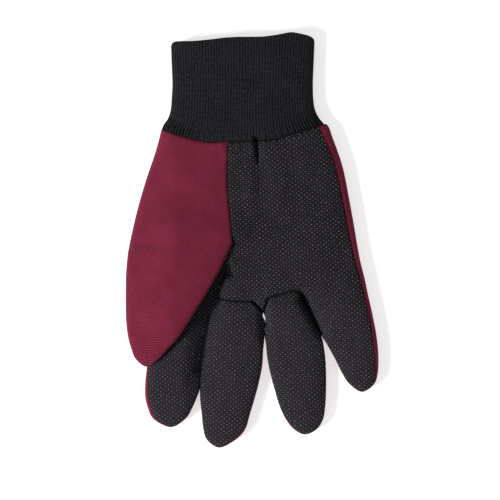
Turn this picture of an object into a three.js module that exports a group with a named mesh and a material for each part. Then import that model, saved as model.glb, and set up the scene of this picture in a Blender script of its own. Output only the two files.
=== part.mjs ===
// Knit-wrist utility glove for a right hand, empty, lying palm up on a flat surface.
// Millimetres, +Z up. The fingers point to -Y, the wrist to +Y and the thumb side is -X.
// The origin is the centre of the glove's plan box, on the surface it lies on.
//
// The glove is six pieces of cloth. Each piece is a wall of even thickness whose outer face is a
// height over the plan: a back with a winged thumb that folds over the palm, a dotted palm with the
// index and little finger fronts, two finger fronts, the inner face of the thumb, and a knit wrist.
import * as THREE from "three";
import { mergeVertices } from "three/addons/utils/BufferGeometryUtils.js";

// Cloth
const JERSEY = 1.8; // wall of the fleece-backed jersey
const RIB_KNIT = 2.8; // wall of the doubled rib knit at the wrist
const SEAM_GAP = 0.35; // clearance between two pieces that are sewn together

// Heights of the resting glove
const SEAM_HEIGHT = 6; // the side seams run this high over the surface
const EDGE_SWELL = 2.7; // how steeply cloth swells away from an outline, in mm per root mm
const HAND_SWELL = 9; // limit of the swell over and under the side seams
const CUFF_SWELL = 7; // the same at the mouth of the wrist
const THUMB_SWELL = 7; // the same over the thumb
const THUMB_UNDERSWELL = 4; // the same under the thumb
const THUMB_PRESS = { left: 0.78, right: 0.36 }; // share of the hand's swell pressed out by the thumb
const THUMB_SEAT = 15; // height of the thumb's right seam, which lies on the palm
const THUMB_LEFT = 9.6; // height of the thumb's left seam, which hangs beside the hand
const THUMB_TIP = 13.2; // height of the thumb's tip, which lies on the index finger
const THUMB_CLEARANCE = 0.9; // between the thumb's inner face and the palm under it
const THUMB_STACK = 3.5; // least height of the thumb's side seams over the palm under them

// Mesh steps
const COLUMNS = 8; // across each finger
const STRIP_COLUMNS = 2;
const ROWS = { upper: 7, lower: 4, finger: 8, thumb: 8, cuff: 5 };

// Plan of the glove. x and y in mm.
// Where the wrist is sewn to the palm side, from the thumb side to the little finger side.
const WRIST_SEAM = [
  { x: -55.5, y: 68 },
  { x: -48.5, y: 65 },
  { x: -36.5, y: 61.5 },
  { x: -26, y: 59.5 },
  { x: -15, y: 60 },
  { x: 3, y: 60.5 },
  { x: 14, y: 61.5 },
  { x: 24, y: 64.5 },
  { x: 33, y: 67.5 },
  { x: 40.5, y: 69 },
  { x: 44.5, y: 71.5 },
];
const BACK_SEAM_SAG = 0.4; // the seam's dip on the back, as a share of its dip on the palm

// Lines that part the palm into one lane for each finger, from the wrist seam to the finger bases.
const LEFT_SIDE_UPPER = [
  { x: -55.5, y: 68 },
  { x: -59, y: 55 },
  { x: -65.5, y: 35.5 },
  { x: -71, y: 16 },
  { x: -75, y: -1.5 },
];
const LEFT_SIDE_LOWER = [
  { x: -75, y: -1.5 },
  { x: -71, y: -10.5 },
  { x: -66.5, y: -20.5 },
  { x: -64, y: -31 },
  { x: -63, y: -39.5 },
];
const THUMB_SEAM = [
  { x: -15, y: 60 },
  { x: -15, y: 31 },
  { x: -13.5, y: 15 },
  { x: -12, y: -1.5 },
];
const RIGHT_SIDE_UPPER = [
  { x: 44.5, y: 71.5 },
  { x: 48.5, y: 65 },
  { x: 55, y: 45.5 },
  { x: 59, y: 26 },
  { x: 62.5, y: 6.5 },
  { x: 63.8, y: -1.5 },
];
const RIGHT_SIDE_LOWER = [
  { x: 63.8, y: -1.5 },
  { x: 66, y: -13 },
  { x: 68.5, y: -23 },
  { x: 70.8, y: -34 },
];
const LANE_LINES = {
  upper: [
    LEFT_SIDE_UPPER,
    THUMB_SEAM,
    [{ x: 3, y: 60.5 }, { x: 5, y: -1.5 }],
    [{ x: 24, y: 64.5 }, { x: 26, y: -1.5 }],
    RIGHT_SIDE_UPPER,
  ],
  lower: [
    LEFT_SIDE_LOWER,
    [{ x: -12, y: -1.5 }, { x: -20.5, y: -35.5 }],
    [{ x: 5, y: -1.5 }, { x: 6.5, y: -44 }],
    [{ x: 26, y: -1.5 }, { x: 31, y: -35 }],
    RIGHT_SIDE_LOWER,
  ],
};

// Where each finger starts: the palm side's seam at the base of the middle and ring fingers.
const FINGER_BASES = [
  [{ x: -63, y: -39.5 }, { x: -42, y: -38 }, { x: -20.5, y: -35.5 }],
  [
    { x: -20.5, y: -35.5 },
    { x: -13.5, y: -36.5 },
    { x: -6, y: -37 },
    { x: 0, y: -37 },
    { x: 3, y: -40 },
    { x: 6.5, y: -44 },
  ],
  [
    { x: 6.5, y: -44 },
    { x: 9, y: -39.5 },
    { x: 12.5, y: -35.5 },
    { x: 18.5, y: -32.5 },
    { x: 26, y: -30.5 },
    { x: 31, y: -35 },
  ],
  [{ x: 31, y: -35 }, { x: 50, y: -34.5 }, { x: 70.8, y: -34 }],
];

// Sections of each finger from its base to its tip: left and right are its edges at y.
const FINGERS = {
  index: [
    { y: -48.5, left: -63.5, right: -27.3 },
    { y: -62.5, left: -64, right: -30.5 },
    { y: -76.5, left: -64.5, right: -32.4 },
    { y: -87.5, left: -65.5, right: -32.8 },
    { y: -96, left: -65.5, right: -34.8 },
    { y: -102, left: -64, right: -37 },
    { y: -108.5, left: -61, right: -40.5 },
    { y: -114, left: -49.5, right: -49.5 },
  ],
  middle: [
    { y: -47, left: -26.2, right: 6.2 },
    { y: -54.5, left: -28, right: 6.9 },
    { y: -67, left: -30, right: 6.5 },
    { y: -76.5, left: -31.5, right: 6 },
    { y: -86.5, left: -32, right: 4 },
    { y: -96, left: -32, right: 1.5 },
    { y: -106, left: -31, right: -1.5 },
    { y: -115.5, left: -30, right: -4.5 },
    { y: -121.5, left: -28, right: -10 },
    { y: -126.5, left: -20.5, right: -20.5 },
  ],
  ring: [
    { y: -47, left: 8, right: 35.6 },
    { y: -52, left: 7.6, right: 38.5 },
    { y: -62, left: 7.6, right: 43 },
    { y: -71.5, left: 9, right: 44.5 },
    { y: -81.5, left: 11, right: 45 },
    { y: -91, left: 13.5, right: 45 },
    { y: -101, left: 16.5, right: 44.5 },
    { y: -109.5, left: 20.5, right: 43 },
    { y: -115.5, left: 25.5, right: 39 },
    { y: -118.5, left: 32, right: 32 },
  ],
  little: [
    { y: -43.5, left: 35.6, right: 73 },
    { y: -52, left: 39.8, right: 74.7 },
    { y: -62, left: 45, right: 76.3 },
    { y: -71.5, left: 50, right: 77 },
    { y: -81.5, left: 55, right: 76.5 },
    { y: -87.5, left: 59, right: 74.5 },
    { y: -92.5, left: 67, right: 67 },
  ],
};
const THUMB_SECTIONS = [
  { y: -10.5, left: -76, right: -16 },
  { y: -20.5, left: -76.8, right: -21 },
  { y: -30, left: -77, right: -26.5 },
  { y: -40, left: -77, right: -32.5 },
  { y: -49.5, left: -76.7, right: -38.5 },
  { y: -58.5, left: -75.5, right: -44.5 },
  { y: -65.5, left: -73.5, right: -51 },
  { y: -71.5, left: -71, right: -56.5 },
  { y: -76, left: -65, right: -65 },
];

// The wrist from its seam to its mouth, and the edge of the mouth from left to right.
const WRIST_SECTIONS = [
  { y: 70.5, left: -54.5, right: 43.5 },
  { y: 75, left: -51.5, right: 41 },
  { y: 80, left: -50, right: 38.8 },
  { y: 86, left: -49.5, right: 37.6 },
  { y: 95, left: -49, right: 37 },
  { y: 109, left: -49.5, right: 37.5 },
];
const MOUTH_EDGE = [
  { x: -50, y: 121.0 },
  { x: -38, y: 121.1 },
  { x: -28, y: 121.7 },
  { x: -15, y: 123.3 },
  { x: 8, y: 124.0 },
  { x: 18, y: 125.5 },
  { x: 24, y: 126.5 },
  { x: 30, y: 125.5 },
  { x: 38, y: 123.5 },
];

// Share of the little finger's lane that the back's cloth covers where it rolls over the right side.
const RIGHT_STRIP = [
  { y: 70, share: 0.2 },
  { y: 40, share: 0.17 },
  { y: 0, share: 0.12 },
  { y: -34, share: 0.07 },
  { y: -50, share: 0.07 },
  { y: -62, share: 0.1 },
  { y: -76, share: 0.1 },
  { y: -84, share: 0 },
];

// Dents in the palm side: each runs from one point to another and fades out at its far end.
const FOLDS = [
  { from: { x: 2.7, y: 61 }, to: { x: 3.4, y: 42 }, width: 3.2, depth: 3.2 }, // pleat under the wrist
  { from: { x: 3.4, y: 46 }, to: { x: 12, y: 12 }, width: 11, depth: 1.2 }, // its soft end
  { from: { x: -22, y: -36 }, to: { x: -10, y: -8 }, width: 11, depth: 1.4 }, // beside the thumb
];

const smooth = (t) => {
  const s = Math.min(1, Math.max(0, t));
  return s * s * (3 - 2 * s);
};
const mix = (a, b, t) => a + (b - a) * t;
const along = (p, q, t) => ({ x: mix(p.x, q.x, t), y: mix(p.y, q.y, t) });

// A smooth curve through plan points, as a function from 0 to 1 of its length.
function curveThrough(points) {
  const curve = new THREE.CatmullRomCurve3(
    points.map((p) => new THREE.Vector3(p.x, p.y, 0)),
    false,
    "centripetal",
  );
  curve.arcLengthDivisions = 400;
  return (t) => {
    const p = curve.getPointAt(Math.min(1, Math.max(0, t)));
    return { x: p.x, y: p.y };
  };
}

// Both edges of a finger from its base to its tip, from one curve that goes round the tip.
function fingerEdges(start, sections, end) {
  const tip = sections[sections.length - 1];
  const sides = sections.slice(0, -1);
  const points = [
    start,
    ...sides.map((s) => ({ x: s.left, y: s.y })),
    { x: tip.left, y: tip.y },
    ...sides.map((s) => ({ x: s.right, y: s.y })).reverse(),
    end,
  ];
  const curve = curveThrough(points);
  let atTip = 0;
  for (let t = 0; t <= 1; t += 0.001) if (curve(t).y < curve(atTip).y) atTip = t;
  return {
    left: (v) => curve(v * atTip),
    right: (v) => curve(1 - v * (1 - atTip)),
  };
}

// A four-sided patch of the plan between curved edges (a Coons patch), as a function of u and v.
function patchBetween({ top, bottom, left, right }) {
  const corner = { tl: top(0), tr: top(1), bl: bottom(0), br: bottom(1) };
  return (u, v) => {
    const blend = (k) =>
      mix(top(u)[k], bottom(u)[k], v) +
      mix(left(v)[k], right(v)[k], u) -
      mix(mix(corner.tl[k], corner.tr[k], u), mix(corner.bl[k], corner.br[k], u), v);
    return { x: blend("x"), y: blend("y") };
  };
}

const tableAt = (rows, y, column) => {
  const next = rows.findIndex((r) => r.y <= y);
  if (next === 0) return rows[0][column];
  if (next < 0) return rows[rows.length - 1][column];
  const a = rows[next - 1];
  const b = rows[next];
  return mix(a[column], b[column], (a.y - y) / (a.y - b.y));
};

// Outlines
const fingerNames = Object.keys(FINGERS);
const fingerEdge = fingerNames.map((name, i) =>
  fingerEdges(FINGER_BASES[i][0], FINGERS[name], FINGER_BASES[i][FINGER_BASES[i].length - 1]),
);
const kink = THUMB_SEAM[THUMB_SEAM.length - 1];
const thumbCrotch = LEFT_SIDE_UPPER[LEFT_SIDE_UPPER.length - 1];
const thumbEdge = fingerEdges(thumbCrotch, THUMB_SECTIONS, kink);
const wristLeft = curveThrough([
  WRIST_SEAM[0],
  ...WRIST_SECTIONS.map((s) => ({ x: s.left, y: s.y })),
  MOUTH_EDGE[0],
]);
const wristRight = curveThrough([
  WRIST_SEAM[WRIST_SEAM.length - 1],
  ...WRIST_SECTIONS.map((s) => ({ x: s.right, y: s.y })),
  MOUTH_EDGE[MOUTH_EDGE.length - 1],
]);

const sampled = (curve, steps) => Array.from({ length: steps + 1 }, (_, i) => curve(i / steps));
const segmentsOf = (lines) =>
  lines.flatMap((line) => line.slice(1).map((p, i) => ({ a: line[i], b: p })));
const FAR = 80; // how far the outlines run on past the wrist's mouth, so that the tube stays open
const runOn = (p) => [p, { x: p.x, y: p.y + FAR }];

const handOutline = segmentsOf([
  runOn(MOUTH_EDGE[0]),
  runOn(MOUTH_EDGE[MOUTH_EDGE.length - 1]),
  sampled(wristLeft, 16),
  sampled(wristRight, 16),
  sampled(curveThrough(LEFT_SIDE_UPPER), 16),
  sampled(curveThrough(LEFT_SIDE_LOWER), 12),
  sampled(curveThrough(RIGHT_SIDE_UPPER), 16),
  sampled(curveThrough(RIGHT_SIDE_LOWER), 10),
  ...fingerEdge.flatMap((e) => [sampled(e.left, 24), sampled(e.right, 24)]),
]);
const THUMB_ROOT_CLOSE = [kink, { x: -1, y: 16 }, { x: -2, y: 62 }]; // keeps the thumb's root low
const thumbOutline = segmentsOf([
  runOn(MOUTH_EDGE[0]),
  sampled(wristLeft, 16),
  sampled(curveThrough(LEFT_SIDE_UPPER), 16),
  sampled(thumbEdge.left, 24),
  sampled(thumbEdge.right, 24),
  THUMB_ROOT_CLOSE,
  runOn(THUMB_ROOT_CLOSE[2]),
]);

// A smooth distance from the outline: pi over the sum of each segment's subtended angle divided by
// its line's distance. In a long tube it is a parabola, so its root is an ellipse.
function softDistance(outline, p) {
  let sum = 0;
  for (const { a, b } of outline) {
    const ax = a.x - p.x;
    const ay = a.y - p.y;
    const bx = b.x - p.x;
    const by = b.y - p.y;
    const cross = Math.abs(ax * by - ay * bx);
    if (Math.min(Math.hypot(ax, ay), Math.hypot(bx, by)) < 1e-6) return 0;
    const length = Math.hypot(b.x - a.x, b.y - a.y);
    if (length === 0) continue;
    const offLine = Math.max(cross / length, 1e-7);
    sum += Math.atan2(cross, ax * bx + ay * by) / offLine;
  }
  return Math.PI / sum;
}
const swell = (outline, p, limit) =>
  limit * Math.tanh((EDGE_SWELL * Math.sqrt(softDistance(outline, p))) / limit);

// Share of the hand's swell that the thumb presses out at p: most beside its left edge.
const thumbRows = [{ y: thumbCrotch.y, left: thumbCrotch.x, right: kink.x }, ...THUMB_SECTIONS];
const thumbTipY = THUMB_SECTIONS[THUMB_SECTIONS.length - 1].y;
function thumbPress(p) {
  const past = tableAt(thumbRows, p.y, "right") + 6 - p.x;
  const cover = smooth(past / 12) * smooth((p.y - thumbTipY) / 12) * smooth((8 - p.y) / 9);
  const fromLeft = p.x - tableAt(thumbRows, p.y, "left");
  return cover * mix(THUMB_PRESS.left, THUMB_PRESS.right, smooth((fromLeft - 5) / 24));
}

function foldDepth(p) {
  let depth = 0;
  for (const { from, to, width, depth: deepest } of FOLDS) {
    const run = { x: to.x - from.x, y: to.y - from.y };
    const length = Math.hypot(run.x, run.y);
    const t = ((p.x - from.x) * run.x + (p.y - from.y) * run.y) / length ** 2;
    const off = Math.abs((p.x - from.x) * run.y - (p.y - from.y) * run.x) / length;
    depth += deepest * smooth(1 - off / width) * smooth(1 - t) * smooth(1 + 4 * t);
  }
  return depth;
}

// Heights of the outer faces at a plan point
const HAND_TOP = WRIST_SEAM[3].y;
const swellLimit = (p) => mix(HAND_SWELL, CUFF_SWELL, smooth((p.y - HAND_TOP) / 25));
const underside = (p) => Math.max(0, SEAM_HEIGHT - swell(handOutline, p, swellLimit(p)));
const flatPalm = (p) =>
  SEAM_HEIGHT +
  Math.max(
    0,
    swell(handOutline, p, swellLimit(p)) * (1 - thumbPress(p)) - foldDepth(p),
  );

// Height of the thumb's middle plane: low at its left side, and on the palm at its right side.
const HAND_LEFT_ROWS = [...LEFT_SIDE_LOWER.map((q) => ({ y: q.y, left: q.x })), ...FINGERS.index];
const besideHandLeft = (p) => p.x < tableAt(HAND_LEFT_ROWS, p.y, "left");
function thumbPlane(p) {
  const besideHand = p.y > thumbCrotch.y;
  const leftEdge = besideHand ? tableAt(LEFT_SIDE_UPPER, p.y, "x") : tableAt(thumbRows, p.y, "left");
  const hanging = mix(SEAM_HEIGHT, THUMB_LEFT, smooth((thumbCrotch.y - p.y) / 7));
  const low = mix(hanging, THUMB_TIP, smooth((thumbTipY + 26 - p.y) / 20));
  const high = mix(THUMB_SEAT, 9, smooth((p.y - kink.y) / 26));
  const plane = mix(low, high, smooth((p.x - leftEdge) / 30));
  if (besideHand || besideHandLeft(p)) return plane;
  return Math.max(plane, flatPalm(p) + THUMB_STACK);
}
const thumbTop = (p) => thumbPlane(p) + swell(thumbOutline, p, THUMB_SWELL);
const thumbShare = (p) => smooth((HAND_TOP + 6 - p.y) / (HAND_TOP + 6 - kink.y));

// The winged side of the back: the hand's top at the wrist, the thumb's top from its crotch on.
const wingTop = (p) => mix(flatPalm(p), thumbTop(p), thumbShare(p));

// The palm rises to the thumb seam, and passes under the thumb below the seam's end.
const SEAM_REACH = 16; // how far from the thumb seam the palm is lifted
const KINK_DROP = 1.7; // how far the palm passes under the thumb where the seam ends
const thumbSeamRows = sampled(curveThrough(THUMB_SEAM), 40);
function thumbSeamHeight(y) {
  const at = { x: tableAt(thumbSeamRows, y, "x"), y: Math.max(y, kink.y) };
  return wingTop(at) - KINK_DROP * smooth((kink.y + 10 - y) / 10);
}
function palmTop(p) {
  const off = Math.min(...thumbSeamRows.map((q) => Math.hypot(p.x - q.x, p.y - q.y)));
  const pull = smooth(1 - off / SEAM_REACH);
  return pull > 0 ? mix(flatPalm(p), thumbSeamHeight(p.y), pull) : flatPalm(p);
}

// What the thumb lies on: the palm, and beside the hand the height of its side seam.
const support = (p) => SEAM_GAP + (besideHandLeft(p) ? SEAM_HEIGHT : palmTop(p));
const thumbUnder = (p) =>
  Math.max(
    support(p) + THUMB_CLEARANCE,
    thumbPlane(p) - SEAM_GAP - swell(thumbOutline, p, THUMB_UNDERSWELL),
  );

// Steps across a patch: close together at both sides, where the cloth turns over the edge.
const acrossSteps = (n) => Array.from({ length: n + 1 }, (_, i) => 0.5 - 0.5 * Math.cos((Math.PI * i) / n));
const evenSteps = (n) => Array.from({ length: n + 1 }, (_, i) => i / n);
const toTipSteps = (n) => Array.from({ length: n + 1 }, (_, i) => 1 - (1 - i / n) ** 1.5);

// One grid of a piece's outer face. The left and right edges may be seams in an outline, at the
// height that seam gives. span picks a part of the patch in each row, facing is 1 for cloth that
// faces up and -1 for cloth that faces down, and squareRow is the v of a row that ends at the wrist
// seam, where the wall is cut square to Y.
const wholeSpan = () => [0, 1];
function faceGrid({ patch, span = wholeSpan, height, seam, left, right, us, vs, facing = 1, squareRow }) {
  return vs.map((v) => {
    const [from, to] = span(v);
    return us.map((step) => {
      const u = mix(from, to, step);
      const p = patch(u, v);
      const level = (left && u < 1e-9) || (right && u > 1 - 1e-9);
      const slope = level ? null : slopeOf(height, p, facing);
      const z = level ? seam(p) : height(p);
      return { x: p.x, y: p.y, z, level, slope, facing, square: v === squareRow };
    });
  });
}
const PROBE = 0.25;
function slopeOf(height, p, facing) {
  const dx = height({ x: p.x + PROBE, y: p.y }) - height({ x: p.x - PROBE, y: p.y });
  const dy = height({ x: p.x, y: p.y + PROBE }) - height({ x: p.x, y: p.y - PROBE });
  return new THREE.Vector3(-dx, -dy, 2 * PROBE).multiplyScalar(facing).normalize();
}

// Where two fingers meet, and which way is out of the cloth there.
const CROTCHES = [
  { ...FINGER_BASES[1][0], outX: -0.44, outY: -0.9 },
  { ...FINGER_BASES[2][0], outX: 0.1, outY: -1 },
  { ...FINGER_BASES[3][0], outX: 0.36, outY: -0.93 },
];

// A wall of even thickness inside the outer face that the grids make together.
function clothWall(grids, thickness, seamThickness = thickness) {
  const points = [];
  const level = [];
  const square = [];
  const slopes = [];
  const indexOf = new Map();
  const vertex = (p) => {
    const key = [p.x, p.y, p.z].map((c) => Math.round(c * 1000)).join();
    if (!indexOf.has(key)) {
      indexOf.set(key, points.length);
      points.push(new THREE.Vector3(p.x, p.y, p.z));
      level.push(false);
      square.push(p.square);
      slopes.push(p.slope);
    }
    const i = indexOf.get(key);
    level[i] = level[i] || p.level;
    return i;
  };
  const faces = [];
  const addFace = (a, b, c) => {
    if (a !== b && b !== c && c !== a) faces.push([a, b, c]);
  };
  for (const grid of grids) {
    const rows = grid.map((row) => row.map(vertex));
    for (let r = 1; r < rows.length; r++)
      for (let c = 1; c < rows[r].length; c++) {
        const [a, b, d, e] = [rows[r - 1][c - 1], rows[r - 1][c], rows[r][c - 1], rows[r][c]];
        if (grid[0][0].facing > 0) {
          addFace(a, d, b);
          addFace(b, d, e);
        } else {
          addFace(a, b, d);
          addFace(b, e, d);
        }
      }
  }
  const normals = points.map(() => new THREE.Vector3());
  for (const [a, b, c] of faces) {
    const n = new THREE.Vector3()
      .subVectors(points[b], points[a])
      .cross(new THREE.Vector3().subVectors(points[c], points[a]));
    for (const i of [a, b, c]) normals[i].add(n);
  }
  normals.forEach((n, i) => {
    const crotch = CROTCHES.find((c) => Math.hypot(c.x - points[i].x, c.y - points[i].y) < 0.01);
    if (crotch) n.set(crotch.outX, crotch.outY, 0);
    else if (level[i]) n.z = 0;
    else n.copy(slopes[i]);
    if (square[i]) n.y = 0;
    n.normalize();
  });
  const inner = points.map((p, i) =>
    p.clone().addScaledVector(normals[i], square[i] ? -seamThickness : -thickness),
  );
  const count = points.length;
  const triangles = faces.flatMap(([a, b, c]) => [a, b, c, c + count, b + count, a + count]);
  const edges = new Set(faces.flatMap(([a, b, c]) => [`${a},${b}`, `${b},${c}`, `${c},${a}`]));
  for (const edge of edges) {
    const [a, b] = edge.split(",").map(Number);
    if (!edges.has(`${b},${a}`)) triangles.push(b, a, a + count, b, a + count, b + count);
  }
  const geometry = new THREE.BufferGeometry();
  geometry.setAttribute(
    "position",
    new THREE.Float32BufferAttribute([...points, ...inner].flatMap((p) => [p.x, p.y, p.z]), 3),
  );
  geometry.setIndex(triangles);
  return mergeVertices(geometry);
}

// Plan patches of the hand: the upper and lower palm and the finger of each lane
const seamAt = curveThrough(WRIST_SEAM);
const seamLine = sampled(seamAt, 200);
function wristSeamPiece(from, to, sag) {
  const first = WRIST_SEAM[0];
  const last = WRIST_SEAM[WRIST_SEAM.length - 1];
  return (u) => {
    const x = mix(from, to, u);
    const next = Math.max(1, seamLine.findIndex((p) => p.x >= x - 1e-9));
    const a = seamLine[next - 1];
    const b = seamLine[next];
    const y = mix(a.y, b.y, (x - a.x) / (b.x - a.x));
    const chord = mix(first.y, last.y, (x - first.x) / (last.x - first.x));
    return { x, y: mix(chord, y, sag) };
  };
}
const lineThrough = (points) =>
  points.length > 2 ? curveThrough(points) : (t) => along(points[0], points[1], t);

function upperPatch(lane, sag) {
  const [l, r] = [LANE_LINES.upper[lane], LANE_LINES.upper[lane + 1]];
  const top = wristSeamPiece(l[0].x, r[0].x, sag);
  const onSeam = (line, start) => lineThrough([start, ...line.slice(1)]);
  return patchBetween({
    top,
    bottom: lineThrough([l[l.length - 1], r[r.length - 1]]),
    left: onSeam(l, top(0)),
    right: onSeam(r, top(1)),
  });
}
function lowerPatch(lane) {
  const [l, r] = [LANE_LINES.lower[lane], LANE_LINES.lower[lane + 1]];
  return patchBetween({
    top: lineThrough([l[0], r[0]]),
    bottom: curveThrough(FINGER_BASES[lane]),
    left: lineThrough(l),
    right: lineThrough(r),
  });
}
function fingerPatch(lane) {
  const edges = fingerEdge[lane];
  const tip = edges.left(1);
  return patchBetween({
    top: curveThrough(FINGER_BASES[lane]),
    bottom: () => tip,
    left: edges.left,
    right: edges.right,
  });
}
const thumbTip = thumbEdge.left(1);
const thumbPatch = patchBetween({
  top: lineThrough([thumbCrotch, kink]),
  bottom: () => thumbTip,
  left: thumbEdge.left,
  right: thumbEdge.right,
});

const LANES = [0, 1, 2, 3];
const [INDEX, MIDDLE, RING, LITTLE] = LANES;
const us = acrossSteps(COLUMNS);
const upperSteps = evenSteps(ROWS.upper);
const lowerSteps = evenSteps(ROWS.lower);
const fingerSteps = toTipSteps(ROWS.finger);
const THUMB_SLIT = 0.07; // share of the thumb's length left open at its crotch
const thumbSteps = [0, ...toTipSteps(ROWS.thumb).map((v) => mix(THUMB_SLIT, 1, v))];

// The strip of the back that rolls over the little finger's side, and the palm beside that strip.
const stripShare = (patch, v) => tableAt(RIGHT_STRIP, patch(0.5, v).y, "share");
const stripSpan = (patch) => (v) => [1 - stripShare(patch, v), 1];
function besideStrip(patch) {
  return (v) => {
    const share = stripShare(patch, v);
    const width = Math.abs(patch(1, v).x - patch(0, v).x);
    return [0, share > 0 ? 1 - share - SEAM_GAP / width : 1];
  };
}

// A patch with its points moved by a distance in x and y that depends on u and v.
const moved = (patch, by) => (u, v) => {
  const p = patch(u, v);
  const d = by(u, v);
  return { x: p.x + d.x, y: p.y + d.y };
};

// Pieces
function backPiece() {
  const grids = [];
  const seam = () => SEAM_HEIGHT;
  for (const lane of LANES) {
    const under = { height: underside, seam, us, facing: -1 };
    const sides = { left: lane === INDEX, right: lane === LITTLE };
    grids.push(
      faceGrid({ ...under, patch: upperPatch(lane, BACK_SEAM_SAG), vs: upperSteps, ...sides, squareRow: 0 }),
      faceGrid({ ...under, patch: lowerPatch(lane), vs: lowerSteps, ...sides }),
      faceGrid({ ...under, patch: fingerPatch(lane), vs: fingerSteps, left: true, right: true }),
    );
  }
  grids.push(
    faceGrid({
      patch: upperPatch(INDEX, 1),
      height: wingTop,
      seam,
      us,
      vs: upperSteps,
      left: true,
      squareRow: 0,
    }),
    faceGrid({
      patch: thumbPatch,
      height: thumbTop,
      seam: thumbPlane,
      us,
      vs: thumbSteps,
      left: true,
      right: true,
    }),
  );
  const strip = { height: flatPalm, seam, us: evenSteps(STRIP_COLUMNS), right: true };
  const stripPatches = [
    { patch: upperPatch(LITTLE, 1), vs: upperSteps, squareRow: 0 },
    { patch: lowerPatch(LITTLE), vs: lowerSteps },
    { patch: fingerPatch(LITTLE), vs: fingerSteps },
  ];
  for (const part of stripPatches) grids.push(faceGrid({ ...strip, ...part, span: stripSpan(part.patch) }));
  return clothWall(grids, JERSEY);
}

const PALM_CORNER = 7; // how far the palm's hidden corner stays clear of the thumb's crotch
const raised = (height) => (p) => height(p) + SEAM_GAP;

function palmPiece() {
  const face = { height: raised(palmTop), seam: () => SEAM_HEIGHT + SEAM_GAP, us };
  const upper = (lane) => {
    const besideThumb = lane === MIDDLE ? SEAM_GAP : 0;
    const belowWrist = (u, v) => ({
      x: besideThumb * (1 - u) * Math.min(1, ROWS.upper * (1 - v)),
      y: -SEAM_GAP * (1 - v),
    });
    const patch = upperPatch(lane, 1);
    const span = lane === LITTLE ? besideStrip(patch) : wholeSpan;
    return faceGrid({ ...face, patch: moved(patch, belowWrist), span, vs: upperSteps, squareRow: 0 });
  };
  const lower = (lane) => {
    const patch = lowerPatch(lane);
    const span = lane === LITTLE ? besideStrip(patch) : wholeSpan;
    const corner = (u, v) => ({
      x: lane === INDEX ? PALM_CORNER * (1 - u) * Math.max(0, 1 - ROWS.lower * v) : 0,
      y: 0,
    });
    return faceGrid({ ...face, patch: moved(patch, corner), span, vs: lowerSteps, left: lane === INDEX });
  };
  const front = (lane) => {
    const patch = fingerPatch(lane);
    const span = lane === LITTLE ? besideStrip(patch) : wholeSpan;
    return faceGrid({ ...face, patch, span, vs: fingerSteps, left: true, right: true });
  };
  const grids = [MIDDLE, RING, LITTLE].map(upper);
  grids.push(...LANES.map(lower), front(INDEX), front(LITTLE));
  return clothWall(grids, JERSEY);
}

function fingerFrontPiece(lane) {
  const clearOfNeighbours = (u, v) => ({
    x: SEAM_GAP * (1 - 2 * u) * Math.min(1, 4 * (1 - v)),
    y: -2 * SEAM_GAP * (1 - v),
  });
  const grid = faceGrid({
    patch: moved(fingerPatch(lane), clearOfNeighbours),
    height: raised(flatPalm),
    seam: () => SEAM_HEIGHT + SEAM_GAP,
    us,
    vs: fingerSteps,
    left: true,
    right: true,
  });
  return clothWall([grid], JERSEY);
}

function thumbInnerPiece() {
  const grid = faceGrid({
    patch: thumbPatch,
    height: thumbUnder,
    seam: (p) => thumbPlane(p) - SEAM_GAP,
    us,
    vs: thumbSteps.slice(1),
    facing: -1,
    left: true,
    right: true,
  });
  return clothWall([grid], JERSEY);
}

function wristPiece() {
  const patchWith = (sag) => {
    const patch = patchBetween({
      top: curveThrough(MOUTH_EDGE),
      bottom: wristSeamPiece(WRIST_SEAM[0].x, WRIST_SEAM[WRIST_SEAM.length - 1].x, sag),
      left: (v) => wristLeft(1 - v),
      right: (v) => wristRight(1 - v),
    });
    return moved(patch, (u, v) => ({ x: 0, y: 2 * SEAM_GAP * v }));
  };
  const face = {
    seam: () => SEAM_HEIGHT,
    us: acrossSteps(3 * COLUMNS),
    vs: evenSteps(ROWS.cuff),
    left: true,
    right: true,
    squareRow: 1,
  };
  const grids = [
    faceGrid({ ...face, patch: patchWith(1), height: flatPalm }),
    faceGrid({ ...face, patch: patchWith(BACK_SEAM_SAG), height: underside, facing: -1 }),
  ];
  return clothWall(grids, RIB_KNIT, JERSEY);
}

const JERSEY_BURGUNDY = new THREE.MeshStandardMaterial({ color: 0x7a2240, roughness: 0.95, metalness: 0 });
const DOTTED_BLACK = new THREE.MeshStandardMaterial({ color: 0x26252a, roughness: 0.9, metalness: 0 });
const RIB_BLACK = new THREE.MeshStandardMaterial({ color: 0x1f1f23, roughness: 0.95, metalness: 0 });

const glove = new THREE.Group();
const addPiece = (name, geometry, material) => {
  const mesh = new THREE.Mesh(geometry, material);
  mesh.name = name;
  glove.add(mesh);
};
addPiece("knit_wrist", wristPiece(), RIB_BLACK);
addPiece("back_with_wing_thumb", backPiece(), JERSEY_BURGUNDY);
addPiece("dotted_palm", palmPiece(), DOTTED_BLACK);
addPiece("middle_finger_front", fingerFrontPiece(MIDDLE), DOTTED_BLACK);
addPiece("ring_finger_front", fingerFrontPiece(RING), DOTTED_BLACK);
addPiece("thumb_inner_face", thumbInnerPiece(), DOTTED_BLACK);

export default glove;
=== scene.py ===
"""A knit-wrist utility glove for the right hand, empty, laid palm up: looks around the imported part."""

import math

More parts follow.
